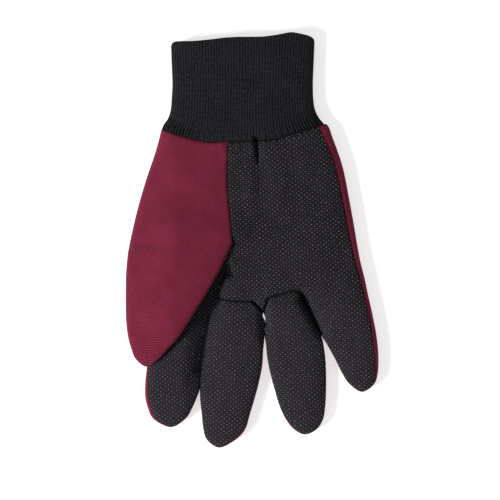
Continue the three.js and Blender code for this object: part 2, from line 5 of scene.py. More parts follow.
import bpy
import numpy as np
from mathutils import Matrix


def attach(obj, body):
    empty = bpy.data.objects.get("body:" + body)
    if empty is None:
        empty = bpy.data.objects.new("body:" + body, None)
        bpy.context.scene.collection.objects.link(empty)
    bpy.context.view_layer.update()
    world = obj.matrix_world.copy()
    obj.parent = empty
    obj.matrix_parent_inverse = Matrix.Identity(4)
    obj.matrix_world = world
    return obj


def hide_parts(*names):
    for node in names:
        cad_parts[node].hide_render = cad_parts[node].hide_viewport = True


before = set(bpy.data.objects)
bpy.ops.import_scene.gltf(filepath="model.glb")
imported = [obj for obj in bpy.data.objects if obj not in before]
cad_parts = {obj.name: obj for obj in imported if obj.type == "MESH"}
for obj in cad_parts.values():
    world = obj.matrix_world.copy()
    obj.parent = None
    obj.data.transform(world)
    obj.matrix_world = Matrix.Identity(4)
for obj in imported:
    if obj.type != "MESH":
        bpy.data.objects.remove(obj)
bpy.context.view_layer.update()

MM = 0.001

# The cloth, in mm
JERSEY = 1.7
RIB_KNIT = 2.4
SEAM_TURN = 0.12  # gap between two pieces sewn together
PALM_LIFT = 0.05  # keeps the dotted cloth just above the back's where the two meet
SEAM_SHADE = 0.55  # half-width of the shade painted along a seam, as a share of its groove's
SHARP_FROM = 60  # degrees between two faces that are shaded apart
TIP_CHORD = 2.0  # a tip's wall runs level where the tip is narrower than this

# Heights of the resting glove, in mm
SEAM_HEIGHT = 6.0  # side seams of the hand and fingers
EDGE_SWELL = 2.7  # how steeply the cloth rises beside a side seam
HAND_SWELL = 9.0  # most that the palm rises over its side seams
CUFF_SWELL = 7.0
THUMB_SWELL = 3.9
THUMB_EDGE_SWELL = 2.2
THUMB_UNDERSWELL = 4.0
THUMB_PRESS = (0.78, 0.36)  # share of the palm's swell pressed out under the thumb's left and right
THUMB_SEAT = 16.2  # side seams of the thumb: at the kink, on the left and at the tip
THUMB_LEFT = 11.0
THUMB_TIP = 13.2
WING_TOP_SEAM = 9.0  # and well above the kink
THUMB_CLEARANCE = 0.6  # between the thumb and the palm under it
THUMB_STACK = 4.3  # least height of the thumb's seams over that palm
SEAM_REACH = 16.0  # how far from the thumb's seam the palm is drawn up to it
KINK_DROP = 1.5  # how far the palm's side of that seam sinks at the kink
BROAD_WAVE, FINE_WAVE = 0.26, 0.09  # unevenness of laid cloth
WAVE_INSET = 7  # it dies out this near the outline

# Plan of the glove: x and y in mm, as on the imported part
WRIST_SEAM = [
    (-55.5, 68), (-48.5, 65), (-36.5, 61.5), (-26, 59.5), (-15, 60), (3, 60.5),
    (14, 61.5), (24, 64.5), (33, 67.5), (40.5, 69.4), (43.9, 71.2),
]
BACK_SEAM_SAG = 0.4  # dip of the wrist's seam on the back, as a share of the palm side's
LEFT_UPPER = [(-55.5, 68), (-59, 55), (-65.5, 35.5), (-71, 16), (-75, -1.5)]
LEFT_LOWER = [(-75, -1.5), (-71, -10.5), (-66.5, -20.5), (-64, -31), (-63, -39.5)]
THUMB_SEAM = [(-15, 60), (-15, 31), (-13.5, 15), (-12, -1.5)]
RIGHT_UPPER = [
    (43.9, 71.2), (45.5, 70.8), (46.9, 68.8), (48.4, 64.5), (55, 45.5), (59, 26), (62.5, 6.5), (63.8, -1.5),
]
RIGHT_LOWER = [(63.8, -1.5), (66, -13), (68.5, -23), (70.8, -34)]
UPPER_LINES = [
    LEFT_UPPER,
    THUMB_SEAM,
    [(3, 60.5), (5, -1.5)],
    [(24, 64.5), (26, -1.5)],
    RIGHT_UPPER,
]
LOWER_LINES = [
    LEFT_LOWER,
    [(-12, -1.5), (-20.5, -35.5)],
    [(5, -1.5), (6.5, -44)],
    [(26, -1.5), (31, -35)],
    RIGHT_LOWER,
]
FINGER_BASES = [
    [(-63, -39.5), (-42, -38), (-20.5, -35.5)],
    [(-20.5, -35.5), (-13.5, -36.5), (-6, -37), (0, -37), (3, -40), (6.5, -44)],
    [(6.5, -44), (8.1, -40), (9.6, -35.6), (13.5, -33.6), (18.5, -32.3), (26, -30.5), (31, -35)],
    [(31, -35), (50, -34.5), (70.8, -34)],
]
# Finger sections: y, left edge, right edge. A section with None shapes one edge only.
# The last section of each is its tip.
FINGERS = [
    [
        (-41, None, -23.6), (-46.5, None, -26.2), (-50, -63.5, -27.2), (-54.5, None, -28.1),
        (-60, -64, -29.05), (-67, None, -30.1), (-76.5, -64.5, -31.55), (-86.5, -65.5, -32.1),
        (-91.5, None, -32.35), (-96, -65.5, -34), (-102, -64, -36.6), (-108.5, -61, -40.5),
        (-114, -49.5, -49.5),
    ],
    [
        (-41, -23.6, None), (-46.5, -26.2, 6.4), (-48.3, None, 7.3), (-50, -27.2, 7.95),
        (-54.5, -28.1, 7.65), (-58.5, None, 7.4), (-60, -29.05, None), (-61.5, None, 7.15),
        (-67, -30.1, 6.6), (-76.5, -31.55, 6), (-86.5, -32.1, 4), (-91.5, -32.2, None),
        (-96, -32, 1.5), (-106, -31, -1.5), (-115.5, -30, -4.5), (-121.5, -28, -10),
        (-126.5, -20.5, -20.5),
    ],
    [
        (-41, None, 33.9), (-46.5, 7.6, 36.6), (-50, 8.0, 38.3), (-54.5, 7.7, 40.5),
        (-58.5, 7.45, 42.3), (-63, 8.1, 43.3), (-71.5, 9, 44.5), (-81.5, 11, 45), (-91, 13.5, 45),
        (-101, 16.5, 44.5), (-109.5, 20.5, 43), (-115.5, 25.5, 39), (-118.5, 32, 32),
    ],
    [
        (-41, 33.9, None), (-43.5, None, 73), (-46.5, 36.6, None), (-50, 38.3, 74.3),
        (-54.5, 40.5, 75.2), (-58.5, 42.4, 75.8), (-63, 45.2, 76.4), (-71.5, 50, 77),
        (-81.5, 55, 76.5), (-87.5, 59, 74.5), (-92.5, 67, 67),
    ],
]
THUMB = [
    (-10.5, -76, -16), (-20.5, -76.8, -21), (-30, -77, -26.5), (-40, -77, -32.5),
    (-49.5, -76.7, -38.5), (-58.5, -75.5, -44.5), (-65.5, -73.5, -51), (-71.5, -71, -56.5),
    (-76, -65, -65),
]
WRIST = [
    (70.5, -54.5, None), (73, None, 42.3), (75, -51.5, 40.7), (80, -50, 38.3), (86, -49.5, 37.3),
    (95, -49, 37), (109, -49.5, 37.5),
]
MOUTH_EDGE = [
    (-49.8, 119.2), (-49.4, 120.4), (-47.8, 121.1), (-38, 121.1), (-28, 121.7), (-15, 123.3), (8, 124),
    (18, 125.5), (24, 126.5), (30, 125.5), (36, 124.1), (37.6, 123.2), (38, 121.8),
]
# How far the back rolls onto the palm side: y, mm, at each finger's left and right edge
ROLLS = [
    (
        [(-40, 0), (-64, 0), (-74, 1.1), (-88, 2.0), (-98, 2.4), (-106, 2.0), (-111, 1.3), (-114, 0.7)],
        [(-36, 0), (-104, 0), (-110, 0.4), (-114, 0.7)],
    ),
    (
        [(-36, 0), (-118, 0), (-122, 0.2), (-126.5, 0.6)],
        [(-44, 0), (-108, 0), (-113, 0.7), (-119, 1.2), (-124, 1.0), (-126.5, 0.6)],
    ),
    (
        [(-44, 0), (-104, 0), (-110, 0.6), (-115, 0.7), (-118.5, 0.5)],
        [(-35, 0), (-114, 0), (-118.5, 0.5)],
    ),
    (
        [(-35, 0), (-84, 0), (-90, 0.3), (-92.5, 0.5)],
        [(-34, 2.7), (-50, 2.5), (-62, 2.9), (-76, 2.3), (-86, 1.2), (-92.5, 0.5)],
    ),
]
# and along the hand's right edge, from the wrist to the little finger
RIGHT_ROLL = [(71.2, 4.0), (68.8, 5.8), (62, 5.2), (55, 4.9), (30, 4.6), (5, 4.1), (-20, 3.2), (-34, 2.7)]
INDEX, MIDDLE, RING, LITTLE = range(4)


# Curves and patches of the plan
def curve_through(points, steps=40):
    """A centripetal Catmull-Rom curve through plan points, as a function of its share of length."""
    p = np.array(points, float)
    p = np.vstack([2 * p[0] - p[1], p, 2 * p[-1] - p[-2]])
    line = []
    for a, b, c, d in zip(p, p[1:], p[2:], p[3:]):
        ta, tb, tc = (np.linalg.norm(q - r) ** 0.5 for q, r in ((b, a), (c, b), (d, c)))
        start = ((b - a) / ta - (c - a) / (ta + tb) + (c - b) / tb) * tb
        end = ((c - b) / tb - (d - b) / (tb + tc) + (d - c) / tc) * tb
        t = np.linspace(0, 1, steps, endpoint=False)[:, None]
        line.append(
            b + start * t + (3 * (c - b) - 2 * start - end) * t**2 + (2 * (b - c) + start + end) * t**3
        )
    line = np.vstack(line + [p[-2:-1]])
    length = np.concatenate([[0], np.cumsum(np.linalg.norm(np.diff(line, axis=0), axis=1))])

    def at(share):
        s = np.clip(share, 0, 1) * length[-1]
        return np.stack([np.interp(s, length, line[:, k]) for k in (0, 1)], -1)

    return at


def line_through(points):
    """A straight line between two points, or a curve through more of them."""
    if len(points) > 2:
        return curve_through(points)
    a, b = np.array(points, float)
    return lambda share: a + (b - a) * np.asarray(share, float)[..., None]


def to_point(tip):
    return lambda u: np.broadcast_to(tip, np.shape(u) + (2,))


def patch_between(top, bottom, left, right):
    """A Coons patch between four curves, as a function of u and v."""
    tl, tr, bl, br = top(0.0), top(1.0), bottom(0.0), bottom(1.0)

    def at(u, v):
        s, t = u[..., None], v[..., None]
        edges = (1 - t) * top(u) + t * bottom(u) + (1 - s) * left(v) + s * right(v)
        return edges - (1 - t) * ((1 - s) * tl + s * tr) - t * ((1 - s) * bl + s * br)

    return at


def finger_edges(start, sections, end):
    """Both edges of a finger from base to tip, from one curve that goes round the tip."""
    *sides, tip = sections
    points = [start] + [(left, y) for y, left, _ in sides if left is not None] + [(tip[1], tip[0])]
    points += [(right, y) for y, _, right in reversed(sides) if right is not None] + [end]
    curve = curve_through(points)
    share = np.linspace(0, 1, 4001)
    at_tip = share[np.argmin(curve(share)[:, 1])]
    return (lambda v: curve(v * at_tip)), (lambda v: curve(1 - v * (1 - at_tip)))


def smooth(t):
    t = np.clip(t, 0, 1)
    return t * t * (3 - 2 * t)


def mix(a, b, t):
    return a + (b - a) * t


def table_at(rows, y, column=1):
    """Column of a table at y. The rows run from high y to low y."""
    r = np.array(rows, float)[::-1]
    return np.interp(y, r[:, 0], r[:, column])


def across(n):
    """Steps from 0 to 1 that are close together at both ends."""
    return 0.5 - 0.5 * np.cos(np.pi * np.linspace(0, 1, n + 1))


def dense_start(n, power=1.35):
    return np.linspace(0, 1, n + 1) ** power


# Columns and rows of the grids
us = across(34)
palm_us = across(46)
strip_us = across(6)
upper_vs = dense_start(74)
lower_vs = 1 - dense_start(44)[::-1]
finger_vs = across(96)
thumb_vs = 1 - (1 - np.linspace(0, 1, 91)) ** 1.5
# The wrist's rows: from its mouth round the lip, along the tube, and down to the seam
WRIST_DEPTH = 61.0
lip_rows = np.array([0, 0.12, 0.3, 0.55, 0.85, 1.2, 1.8]) / WRIST_DEPTH
tube_rows = np.linspace(2.6 / WRIST_DEPTH, 0.85, 38)
wrist_vs = np.concatenate([lip_rows, tube_rows, 1 - 0.14 * dense_start(18, 1.4)[::-1]])

finger_sides = [finger_edges(FINGER_BASES[i][0], FINGERS[i], FINGER_BASES[i][-1]) for i in range(4)]
KINK, CROTCH = THUMB_SEAM[-1], LEFT_UPPER[-1]
thumb_left, thumb_right = finger_edges(CROTCH, THUMB, KINK)
wrist_left = curve_through([WRIST_SEAM[0]] + [(l, y) for y, l, _ in WRIST if l] + [MOUTH_EDGE[0]])
wrist_right = curve_through([WRIST_SEAM[-1]] + [(r, y) for y, _, r in WRIST if r] + [MOUTH_EDGE[-1]])


def segments(lines):
    """Rows of x, y, x, y for the straight segments of several lines."""
    return np.vstack([np.hstack([np.array(l)[:-1], np.array(l)[1:]]) for l in lines])


PAST_MOUTH = 80  # the outlines run on past the wrist's mouth, so that the tube stays open


def run_on(p):
    return [p, (p[0], p[1] + PAST_MOUTH)]


hand_outline = segments(
    [run_on(MOUTH_EDGE[0]), run_on(MOUTH_EDGE[-1]), wrist_left(1 - wrist_vs), wrist_right(1 - wrist_vs)]
    + [curve_through(s)(upper_vs) for s in (LEFT_UPPER, RIGHT_UPPER)]
    + [curve_through(s)(lower_vs) for s in (LEFT_LOWER, RIGHT_LOWER)]
    + [side(finger_vs) for pair in finger_sides for side in pair]
)
ROOT_CLOSE = [KINK, (-1, 16), (-2, 62)]  # closes the thumb's outline over the palm
thumb_outline = segments(
    [run_on(MOUTH_EDGE[0]), run_on(ROOT_CLOSE[-1]), ROOT_CLOSE, wrist_left(1 - wrist_vs)]
    + [curve_through(LEFT_UPPER)(upper_vs), thumb_left(thumb_vs), thumb_right(thumb_vs)]
)
thumb_seam_line = curve_through(THUMB_SEAM)(np.linspace(0, 1, 61))
# Below the kink the palm still hangs from the thumb's edge for a little
palm_hang_line = np.vstack([thumb_seam_line, [(-13.6, -5.5), (-15.2, -9)]])


BATCH = 4000  # points worked on at once


def remembered(work):
    """Keeps the last few results, because several heights ask about the same points."""
    kept = []

    def ask(*given):
        for old, result in kept:
            if len(old) == len(given) and all(a is b for a, b in zip(old, given)):
                return result
        result = work(*given)
        kept.append((given, result))
        del kept[:-8]
        return result

    return ask


def near(line, p):
    """Distance from each point to a line, and how far along the line its nearest place is."""
    a, b = line[:-1], line[1:]
    run = b - a
    span = np.maximum(np.linalg.norm(run, axis=1), 1e-9)
    starts = np.concatenate([[0], np.cumsum(span)[:-1]])
    flat = p.reshape(-1, 2)
    off, along = np.empty(len(flat)), np.empty(len(flat))
    for start in range(0, len(flat), BATCH):
        q = flat[start : start + BATCH, None]
        t = np.clip(((q - a) * run).sum(-1) / span**2, 0, 1)
        gap = np.linalg.norm(q - a - run * t[..., None], axis=-1)
        best = gap.argmin(1)
        row = np.arange(len(best))
        off[start : start + BATCH] = gap[row, best]
        along[start : start + BATCH] = (starts + t * span)[row, best]
    return off.reshape(p.shape[:-1]), along.reshape(p.shape[:-1])


@remembered
def soft_distance(outline, p):
    """Pi over the sum of each segment's subtended angle divided by its line's distance.

    It is near the distance to the closest side, without the creases where two sides are equally far.
    """
    a, b = outline[:, :2], outline[:, 2:]
    span = np.maximum(np.linalg.norm(b - a, axis=1), 1e-9)
    flat = p.reshape(-1, 2)
    out = np.empty(len(flat))
    for start in range(0, len(flat), BATCH):
        q = flat[start : start + BATCH, None]
        qa, qb = a - q, b - q
        cross = np.abs(qa[..., 0] * qb[..., 1] - qa[..., 1] * qb[..., 0])
        angle = np.arctan2(cross, (qa * qb).sum(-1))
        distance = math.pi / (angle / np.maximum(cross / span, 1e-7)).sum(1)
        out[start : start + BATCH] = np.where((np.abs(qa).sum(-1) < 1e-6).any(1), 0, distance)
    return out.reshape(p.shape[:-1])


def swell(outline, p, limit, edge=EDGE_SWELL):
    return limit * np.tanh(edge * np.sqrt(soft_distance(outline, p)) / limit)


# Heights of the outer faces over a plan point
thumb_rows = [(CROTCH[1], CROTCH[0], KINK[0])] + THUMB
hand_left_rows = [(y, x) for x, y in LEFT_LOWER] + [(y, left) for y, left, _ in FINGERS[INDEX] if left]
left_upper_rows = [(y, x) for x, y in LEFT_UPPER]
HAND_TOP = 59.5  # y at which the hand's swell gives way to the wrist's


def thumb_press(p):
    """Share of the hand's swell that the thumb lying on it presses out."""
    x, y = p[..., 0], p[..., 1]
    tip = THUMB[-1][0]
    cover = smooth((table_at(thumb_rows, y, 2) + 6 - x) / 12) * smooth((y - tip) / 12) * smooth((8 - y) / 9)
    from_left = x - table_at(thumb_rows, y, 1)
    return cover * mix(THUMB_PRESS[0], THUMB_PRESS[1], smooth((from_left - 5) / 24))


def beside_way(p, start, end, left, right):
    """How far along the way from start to end each point is, and how close to it.

    Closeness is 1 on the way and 0 at the reach to its left or right, looking towards its end.
    """
    run = np.subtract(end, start)
    length = np.linalg.norm(run)
    off = p - np.array(start)
    to_right = -(off[..., 1] * run[0] - off[..., 0] * run[1]) / length
    close = smooth(1 - np.where(to_right > 0, to_right / right, -to_right / left))
    return (off @ run) / length**2, close


SLOPE_ONSET, SLOPE_FADE = 0.15, 0.35  # shares of the way over which a slope sets in and dies out
# Where the cloth slopes away beside a finger or the thumb:
# start, end, reach to the left and to the right of that way, share of the swell pressed out
SLOPES = [
    ((-25, -36), (-33.5, -98), 1.2, 12.5, 1.1),
    ((-16.5, -19), (-25.5, -46), 3.0, 12.0, 0.7),
    ((29, -32), (42.5, -60), 6.0, 1.2, 0.5),
]


def slope_press(p):
    """Share of the hand's swell that is pressed out beside a finger or the thumb."""
    share = np.zeros(p.shape[:-1])
    for start, end, left, right, most in SLOPES:
        t, close = beside_way(p, start, end, left, right)
        share = share + most * close * smooth((1 - t) / SLOPE_FADE) * smooth(1 + t / SLOPE_ONSET)
    return share


def swell_limit(p):
    return mix(HAND_SWELL, CUFF_SWELL, smooth((p[..., 1] - HAND_TOP) / 25))


# Slots between two fingers, where their side seams sink: start, end, reach, drop
SLOTS = [
    ((-22, -37), (-31, -78), 7.0, 2.8),
    ((6, -42), (7.4, -60), 4.5, 1.8),
    ((31.5, -36), (42, -57), 5.0, 2.8),
]


def seam_height(p):
    height = np.full(p.shape[:-1], SEAM_HEIGHT)
    for start, end, reach, drop in SLOTS:
        off, _ = near(np.array([start, end], float), p)
        height -= drop * smooth(1 - off / reach)
    return height


# Dents on the palm side: start, end, reach to the left and to the right of that way, depth,
# the share of the way over which it sets in, and the share that keeps the whole depth.
# They are the pleat below the wrist's seam, gentle folds of the palm, the deep dent beside the
# thumb below its kink, and two wrinkles of the wrist.
FOLDS = [
    ((2.2, 61), (3.7, 44), 1.9, 1.9, 4.4, 0.12, 0.4),
    ((2.7, 62), (4.0, 40), 4.5, 4.5, 1.2, 0.12, 0.1),
    ((3.4, 50), (9.5, 2), 9.0, 9.0, 1.6, 0.12, 0.1),
    ((-6, 56), (-9, 8), 7.0, 7.0, 0.8, 0.12, 0.2),
    ((22, 58), (27, -12), 8.0, 8.0, 0.8, 0.12, 0.3),
    ((-22, -36), (-10, -8), 11.0, 11.0, 1.3, 0.12, 0.0),
    ((-15.6, -11.2), (-11.2, -22.4), 1.2, 10.0, 6.5, 0.12, 0.8),
    ((-9, 98.8), (10, 97), 1.5, 1.5, 1.0, 0.12, 0.3),
    ((-3, 102), (12, 100.5), 2.0, 2.0, 0.7, 0.12, 0.3),
]


def fold_depth(p):
    depth = 0
    for start, end, left, right, deepest, onset, hold in FOLDS:
        t, close = beside_way(p, start, end, left, right)
        depth = depth + deepest * close * smooth((1 - t) / (1 - hold)) * smooth(1 + t / onset)
    return depth


def waves(seed, count, shortest, longest):
    """Gentle unevenness of laid cloth: a sum of seeded sine waves with a spread of one."""
    rng = np.random.default_rng(seed)
    size = rng.uniform(shortest, longest, count)
    way = rng.uniform(0, 2 * math.pi, count)
    phase = rng.uniform(0, 2 * math.pi, count)
    k = 2 * math.pi / size * np.stack([np.cos(way), np.sin(way)])

    def at(p):
        return np.sin(p @ k + phase).sum(-1) / math.sqrt(count / 2)

    return at


broad_waves = waves(11, 14, 22, 60)
fine_waves = waves(12, 22, 7, 18)


def unevenness(p, inset):
    """Unevenness that dies out towards the outline."""
    return (BROAD_WAVE * broad_waves(p) + FINE_WAVE * fine_waves(p)) * smooth(inset / WAVE_INSET)


# Finger faces: the front lies inside the rolled edges of the back
def table_roll(rows, y, extra=0.0):
    width = table_at(rows, y)
    return width + extra * smooth(width / 0.3)


def inset_edge(lane, side, extra):
    """A finger's side edge moved inwards by the roll there, and its share along the base."""
    base, edge, rows = curve_through(FINGER_BASES[lane]), finger_sides[lane][side], ROLLS[lane][side]
    v = np.linspace(0, 1, 700)
    line = edge(v)
    run = np.gradient(line, axis=0)
    run /= np.linalg.norm(run, axis=1)[:, None]
    inwards = np.stack([-run[:, 1], run[:, 0]], -1) * (1 - 2 * side)
    inwards[-1] = (0, 1)
    width = table_roll(rows, line[:, 1], extra)
    inner = line + inwards * width[:, None]
    share = width[0] / np.linalg.norm(base(1.0) - base(0.0))
    if side:
        share = 1 - share
    inner += (base(share) - inner[0]) * (1 - smooth(v / 0.12))[:, None]
    return (lambda t: np.stack([np.interp(t, v, inner[:, k]) for k in (0, 1)], -1)), float(share)


def finger_front(lane):
    """Patch of the front cloth between the rolled edges."""
    base = curve_through(FINGER_BASES[lane])
    (left, lo), (right, hi) = inset_edge(lane, 0, SEAM_TURN), inset_edge(lane, 1, SEAM_TURN)
    return patch_between(lambda u: base(mix(lo, hi, np.asarray(u))), to_point(left(1.0)), left, right)


def finger_strip(lane, side):
    """Patch of the rolled edge on one side of a finger."""
    base, edge = curve_through(FINGER_BASES[lane]), finger_sides[lane][side]
    inner, share = inset_edge(lane, side, 0.0)
    if side:
        top = lambda u: base(mix(share, 1.0, np.asarray(u)))
        return patch_between(top, line_through([inner(1.0), edge(1.0)]), inner, edge)
    top = lambda u: base(mix(0.0, share, np.asarray(u)))
    return patch_between(top, line_through([edge(1.0), inner(1.0)]), edge, inner)


def finger_roll_lines():
    """Where a finger's front meets the rolled edges of the back."""
    lines = []
    for lane in range(4):
        for side in (0, 1):
            v = np.linspace(0, 1, 121)
            here = finger_sides[lane][side](v)
            rolled = table_at(ROLLS[lane][side], here[:, 1]) > 0.15
            line = inset_edge(lane, side, 0.0)[0](v)[rolled]
            if len(line) > 1:
                lines.append(line)
    return lines


sixty = np.linspace(0, 1, 61)
base_lines = [curve_through(points)(sixty) for points in FINGER_BASES]
wrist_seam_line = curve_through(WRIST_SEAM)(np.linspace(0, 1, 121))
right_edge = np.vstack([curve_through(RIGHT_UPPER)(sixty), curve_through(RIGHT_LOWER)(sixty)[1:]])
little_roll = np.stack([right_edge[:, 0] - table_at(RIGHT_ROLL, right_edge[:, 1]), right_edge[:, 1]], -1)
# Seams on the palm side, where both cloths turn in, each with shade painted along its groove:
# line, depth and half-width of the groove, then height, pitch and reach of the puckers beside it; the depth
# also sets how dark the painted shade is
SEAMS = [
    (wrist_seam_line, 1.25, 0.95, 0.30, 4.4, 5.0),
    (base_lines[MIDDLE][:46], 1.3, 0.85, 0.13, 3.7, 3.5),
    (base_lines[MIDDLE][40:], 2.6, 0.85, 0.0, 1.0, 1.0),
    (base_lines[RING][:18], 2.6, 0.85, 0.0, 1.0, 1.0),
    (base_lines[RING][12:], 1.5, 0.85, 0.13, 4.1, 3.5),
    (thumb_seam_line, 0.9, 0.75, 0.10, 5.5, 3.0),
    (little_roll, 0.7, 0.6, 0.12, 5.2, 3.0),
    # the slots between index and middle, middle and ring, and ring and little finger: grooves that carry
    # painted shadow
    (np.array([(-26.6, -46), (-29.7, -60), (-31.9, -76), (-32.5, -91)]), 1.0, 1.5, 0.0, 1.0, 1.0),
    (np.array([(8, -50), (7.7, -54.5), (7.4, -58)]), 0.8, 1.0, 0.0, 1.0, 1.0),
    (np.array([(29.8, -33.8), (32.5, -38.4), (34, -41.2)]), 1.8, 2.1, 0.0, 1.0, 1.0),
    (np.array([(33.8, -41), (36.6, -46.5), (42.3, -58.5)]), 1.4, 1.2, 0.0, 1.0, 1.0),
] + [(line, 0.45, 0.5, 0.0, 1.0, 1.0) for line in finger_roll_lines()]


@remembered
def seam_grooves(p):
    """Depth of the seam grooves at a plan point, and how much shade is painted there, 0 to 1, from how near a
    groove it is and how deep that groove is.
    """
    flat = p.reshape(-1, 2)
    depth, puckers, deep = np.zeros(len(flat)), np.zeros(len(flat)), np.zeros(len(flat))
    for line, deepest, half, pucker, pitch, reach in SEAMS:
        margin = max(3 * half, 2.6 * reach if pucker else 0)
        close = ((flat > line.min(0) - margin) & (flat < line.max(0) + margin)).all(1)
        off, along = near(line, flat[close])
        groove = np.exp(-((off / half) ** 2))
        depth[close] = np.maximum(depth[close], deepest * groove)
        shade = np.exp(-((off / (SEAM_SHADE * half)) ** 2))
        deep[close] = np.maximum(deep[close], shade * min(1.0, deepest))
        if pucker:
            wobble = 1 + np.sin(2 * math.pi * along / pitch + 1.3 * np.sin(along / pitch))
            fade = np.exp(-((off / reach) ** 2)) * smooth(off / half - 0.3)
            puckers[close] += pucker * wobble * fade
    return (depth + puckers).reshape(p.shape[:-1]), deep.reshape(p.shape[:-1])


def flat_palm(p, grooves=True):
    """Height of the palm side before the thumb's seam draws it up."""
    soft = soft_distance(hand_outline, p)
    rise = swell(hand_outline, p, swell_limit(p)) * (1 - thumb_press(p)) * (1 - slope_press(p))
    rise = rise - fold_depth(p) + unevenness(p, soft)
    if grooves:
        rise = rise - seam_grooves(p)[0] * smooth(soft / 1.5)
    return seam_height(p) + np.maximum(0, rise)


def underside(p, grooves=True):
    return np.maximum(0, seam_height(p) - swell(hand_outline, p, swell_limit(p)))


def thumb_plane(p):
    """Height of the thumb's side seams, and of the plane between them."""
    x, y = p[..., 0], p[..., 1]
    beside = y > CROTCH[1]
    left = np.where(beside, table_at(left_upper_rows, y), table_at(thumb_rows, y, 1))
    hanging = mix(SEAM_HEIGHT, THUMB_LEFT, smooth((CROTCH[1] - y) / 7))
    low = mix(hanging, THUMB_TIP, smooth((THUMB[-1][0] + 26 - y) / 20))
    high = mix(THUMB_SEAT, WING_TOP_SEAM, smooth((y - KINK[1]) / 26))
    plane = mix(low, high, smooth((x - left) / 30))
    over_hand = smooth((x - table_at(hand_left_rows, y)) / 1.5) * smooth((CROTCH[1] - y) / 7)
    propped = np.maximum(plane, flat_palm(p, grooves=False) + THUMB_STACK)
    return mix(plane, propped, over_hand)


def thumb_top(p, grooves=True):
    rise = swell(thumb_outline, p, THUMB_SWELL, THUMB_EDGE_SWELL)
    return thumb_plane(p) + rise + unevenness(p, soft_distance(thumb_outline, p))


def wing_share(p):
    return smooth((HAND_TOP + 6 - p[..., 1]) / (HAND_TOP + 6 - KINK[1]))


def wing_top(p, grooves=True):
    height = mix(flat_palm(p, grooves=False), thumb_top(p), wing_share(p))
    if grooves:
        fade = smooth(soft_distance(hand_outline, p) / 1.5) * smooth((p[..., 1] - KINK[1]) / 4)
        height = height - seam_grooves(p)[0] * fade
    return height


seam_heights = mix(
    flat_palm(thumb_seam_line, grooves=False), thumb_top(thumb_seam_line), wing_share(thumb_seam_line)
)


def thumb_seam_height(y):
    high = np.interp(y, thumb_seam_line[::-1, 1], seam_heights[::-1])
    high = mix(high, THUMB_SEAT, smooth((KINK[1] - y) / 9))
    return high - KINK_DROP * smooth((KINK[1] + 10 - y) / 10)


def palm_top(p, grooves=True):
    off, _ = near(palm_hang_line, p)
    joined = thumb_seam_height(p[..., 1])
    if grooves:
        joined = joined - seam_grooves(p)[0]
    return mix(flat_palm(p, grooves), joined, smooth(1 - off / SEAM_REACH)) + PALM_LIFT


def front_top(p, grooves=True):
    return flat_palm(p, grooves) + PALM_LIFT


def thumb_under(p, grooves=True):
    outside = p[..., 0] < table_at(hand_left_rows, p[..., 1])
    support = np.where(outside, SEAM_HEIGHT, palm_top(p, grooves)) + THUMB_CLEARANCE
    return np.maximum(support, thumb_plane(p) - 0.2 - swell(thumb_outline, p, THUMB_UNDERSWELL))


# Grids of a piece's outer face
def outline_way(p, edge):
    """Level outward way beside a grid's left or right edge, or both."""
    ways = []
    for column, turn in ((0, 1), (-1, -1)):
        run = np.gradient(p[:, column], axis=0)
        length = np.maximum(np.linalg.norm(run, axis=1), 1e-9)
        ways.append(np.stack([run[:, 1], -run[:, 0]], -1) * turn / length[:, None])
    left, right = (np.repeat(way[:, None], p.shape[1], 1) for way in ways)
    if edge == "left":
        return left
    if edge == "right":
        return right
    half = (np.arange(p.shape[1]) < p.shape[1] / 2)[None, :, None]
    return np.where(half, left, right)


def face_grid(
    patch, height, us, vs, level=None, level_height=None, facing=1, square_row=None,
    thickness=JERSEY, edge="both", tip=False,
):
    """One grid of an outer face.

    level marks points in an outline, whose wall runs level, at level_height. square_row is a row
    whose wall runs straight across the hand, and tip says that the last row is one point.
    """
    u, v = np.repeat(us[None], len(vs), 0), np.repeat(vs[:, None], len(us), 1)
    p = patch(u, v)
    z = height(p)
    level = np.zeros(u.shape, bool) if level is None else np.array(np.broadcast_to(level, u.shape))
    if tip:
        level[-1] = True
    if level.any():
        z = np.where(level, level_height(p), z)
    square = np.zeros(u.shape, bool)
    if square_row is not None:
        square[square_row] = True
    points = np.concatenate([p, z[..., None]], -1)
    even = np.concatenate([p, height(p, grooves=False)[..., None]], -1)
    normal = np.cross(np.gradient(even, axis=0), np.gradient(even, axis=1))
    normal *= facing * np.sign(normal[..., 2:])
    way = outline_way(p, edge)
    if tip:
        close = np.linalg.norm(p[:, -1] - p[:, 0], axis=1) < TIP_CHORD
        normal[close] = np.concatenate([way, np.zeros_like(way[..., :1])], -1)[close]
    step = np.linalg.norm(np.diff(points, axis=1), axis=-1)
    run = np.concatenate([np.zeros((len(vs), 1)), np.cumsum(step, 1)], 1)
    middle = len(us) // 2
    spread = run - run[:, middle : middle + 1] + p[:, middle : middle + 1, 0]
    down = p[..., 1]
    if tip:
        dy, dz = np.diff(points[:, middle, 1]), np.diff(points[:, middle, 2])
        down = down - np.concatenate([[0], np.cumsum(np.hypot(dy, dz) - np.abs(dy))])[:, None]
    return {
        "points": points,
        "level": level,
        "normal": normal,
        "way": way,
        "square": square,
        "facing": facing,
        "flat": np.stack([spread, down, np.zeros_like(z)], -1),
        # how much shade is painted along the seams here
        "painted_seam_shade": seam_grooves(p)[1] if facing > 0 else np.zeros_like(z),
        "thickness": np.broadcast_to(thickness, u.shape),
    }


MERGED_PER_MM = 500  # points in one cell of this grid become one

# The cloth's way at the three points where two side seams meet
CROTCHES = [
    (FINGER_BASES[1][0], (-0.44, -0.9)),
    (FINGER_BASES[2][0], (0.1, -1)),
    (FINGER_BASES[3][0], (0.36, -0.93)),
]


def new_object(name, data):
    obj = bpy.data.objects.new(name, data)
    bpy.context.scene.collection.objects.link(obj)
    return obj


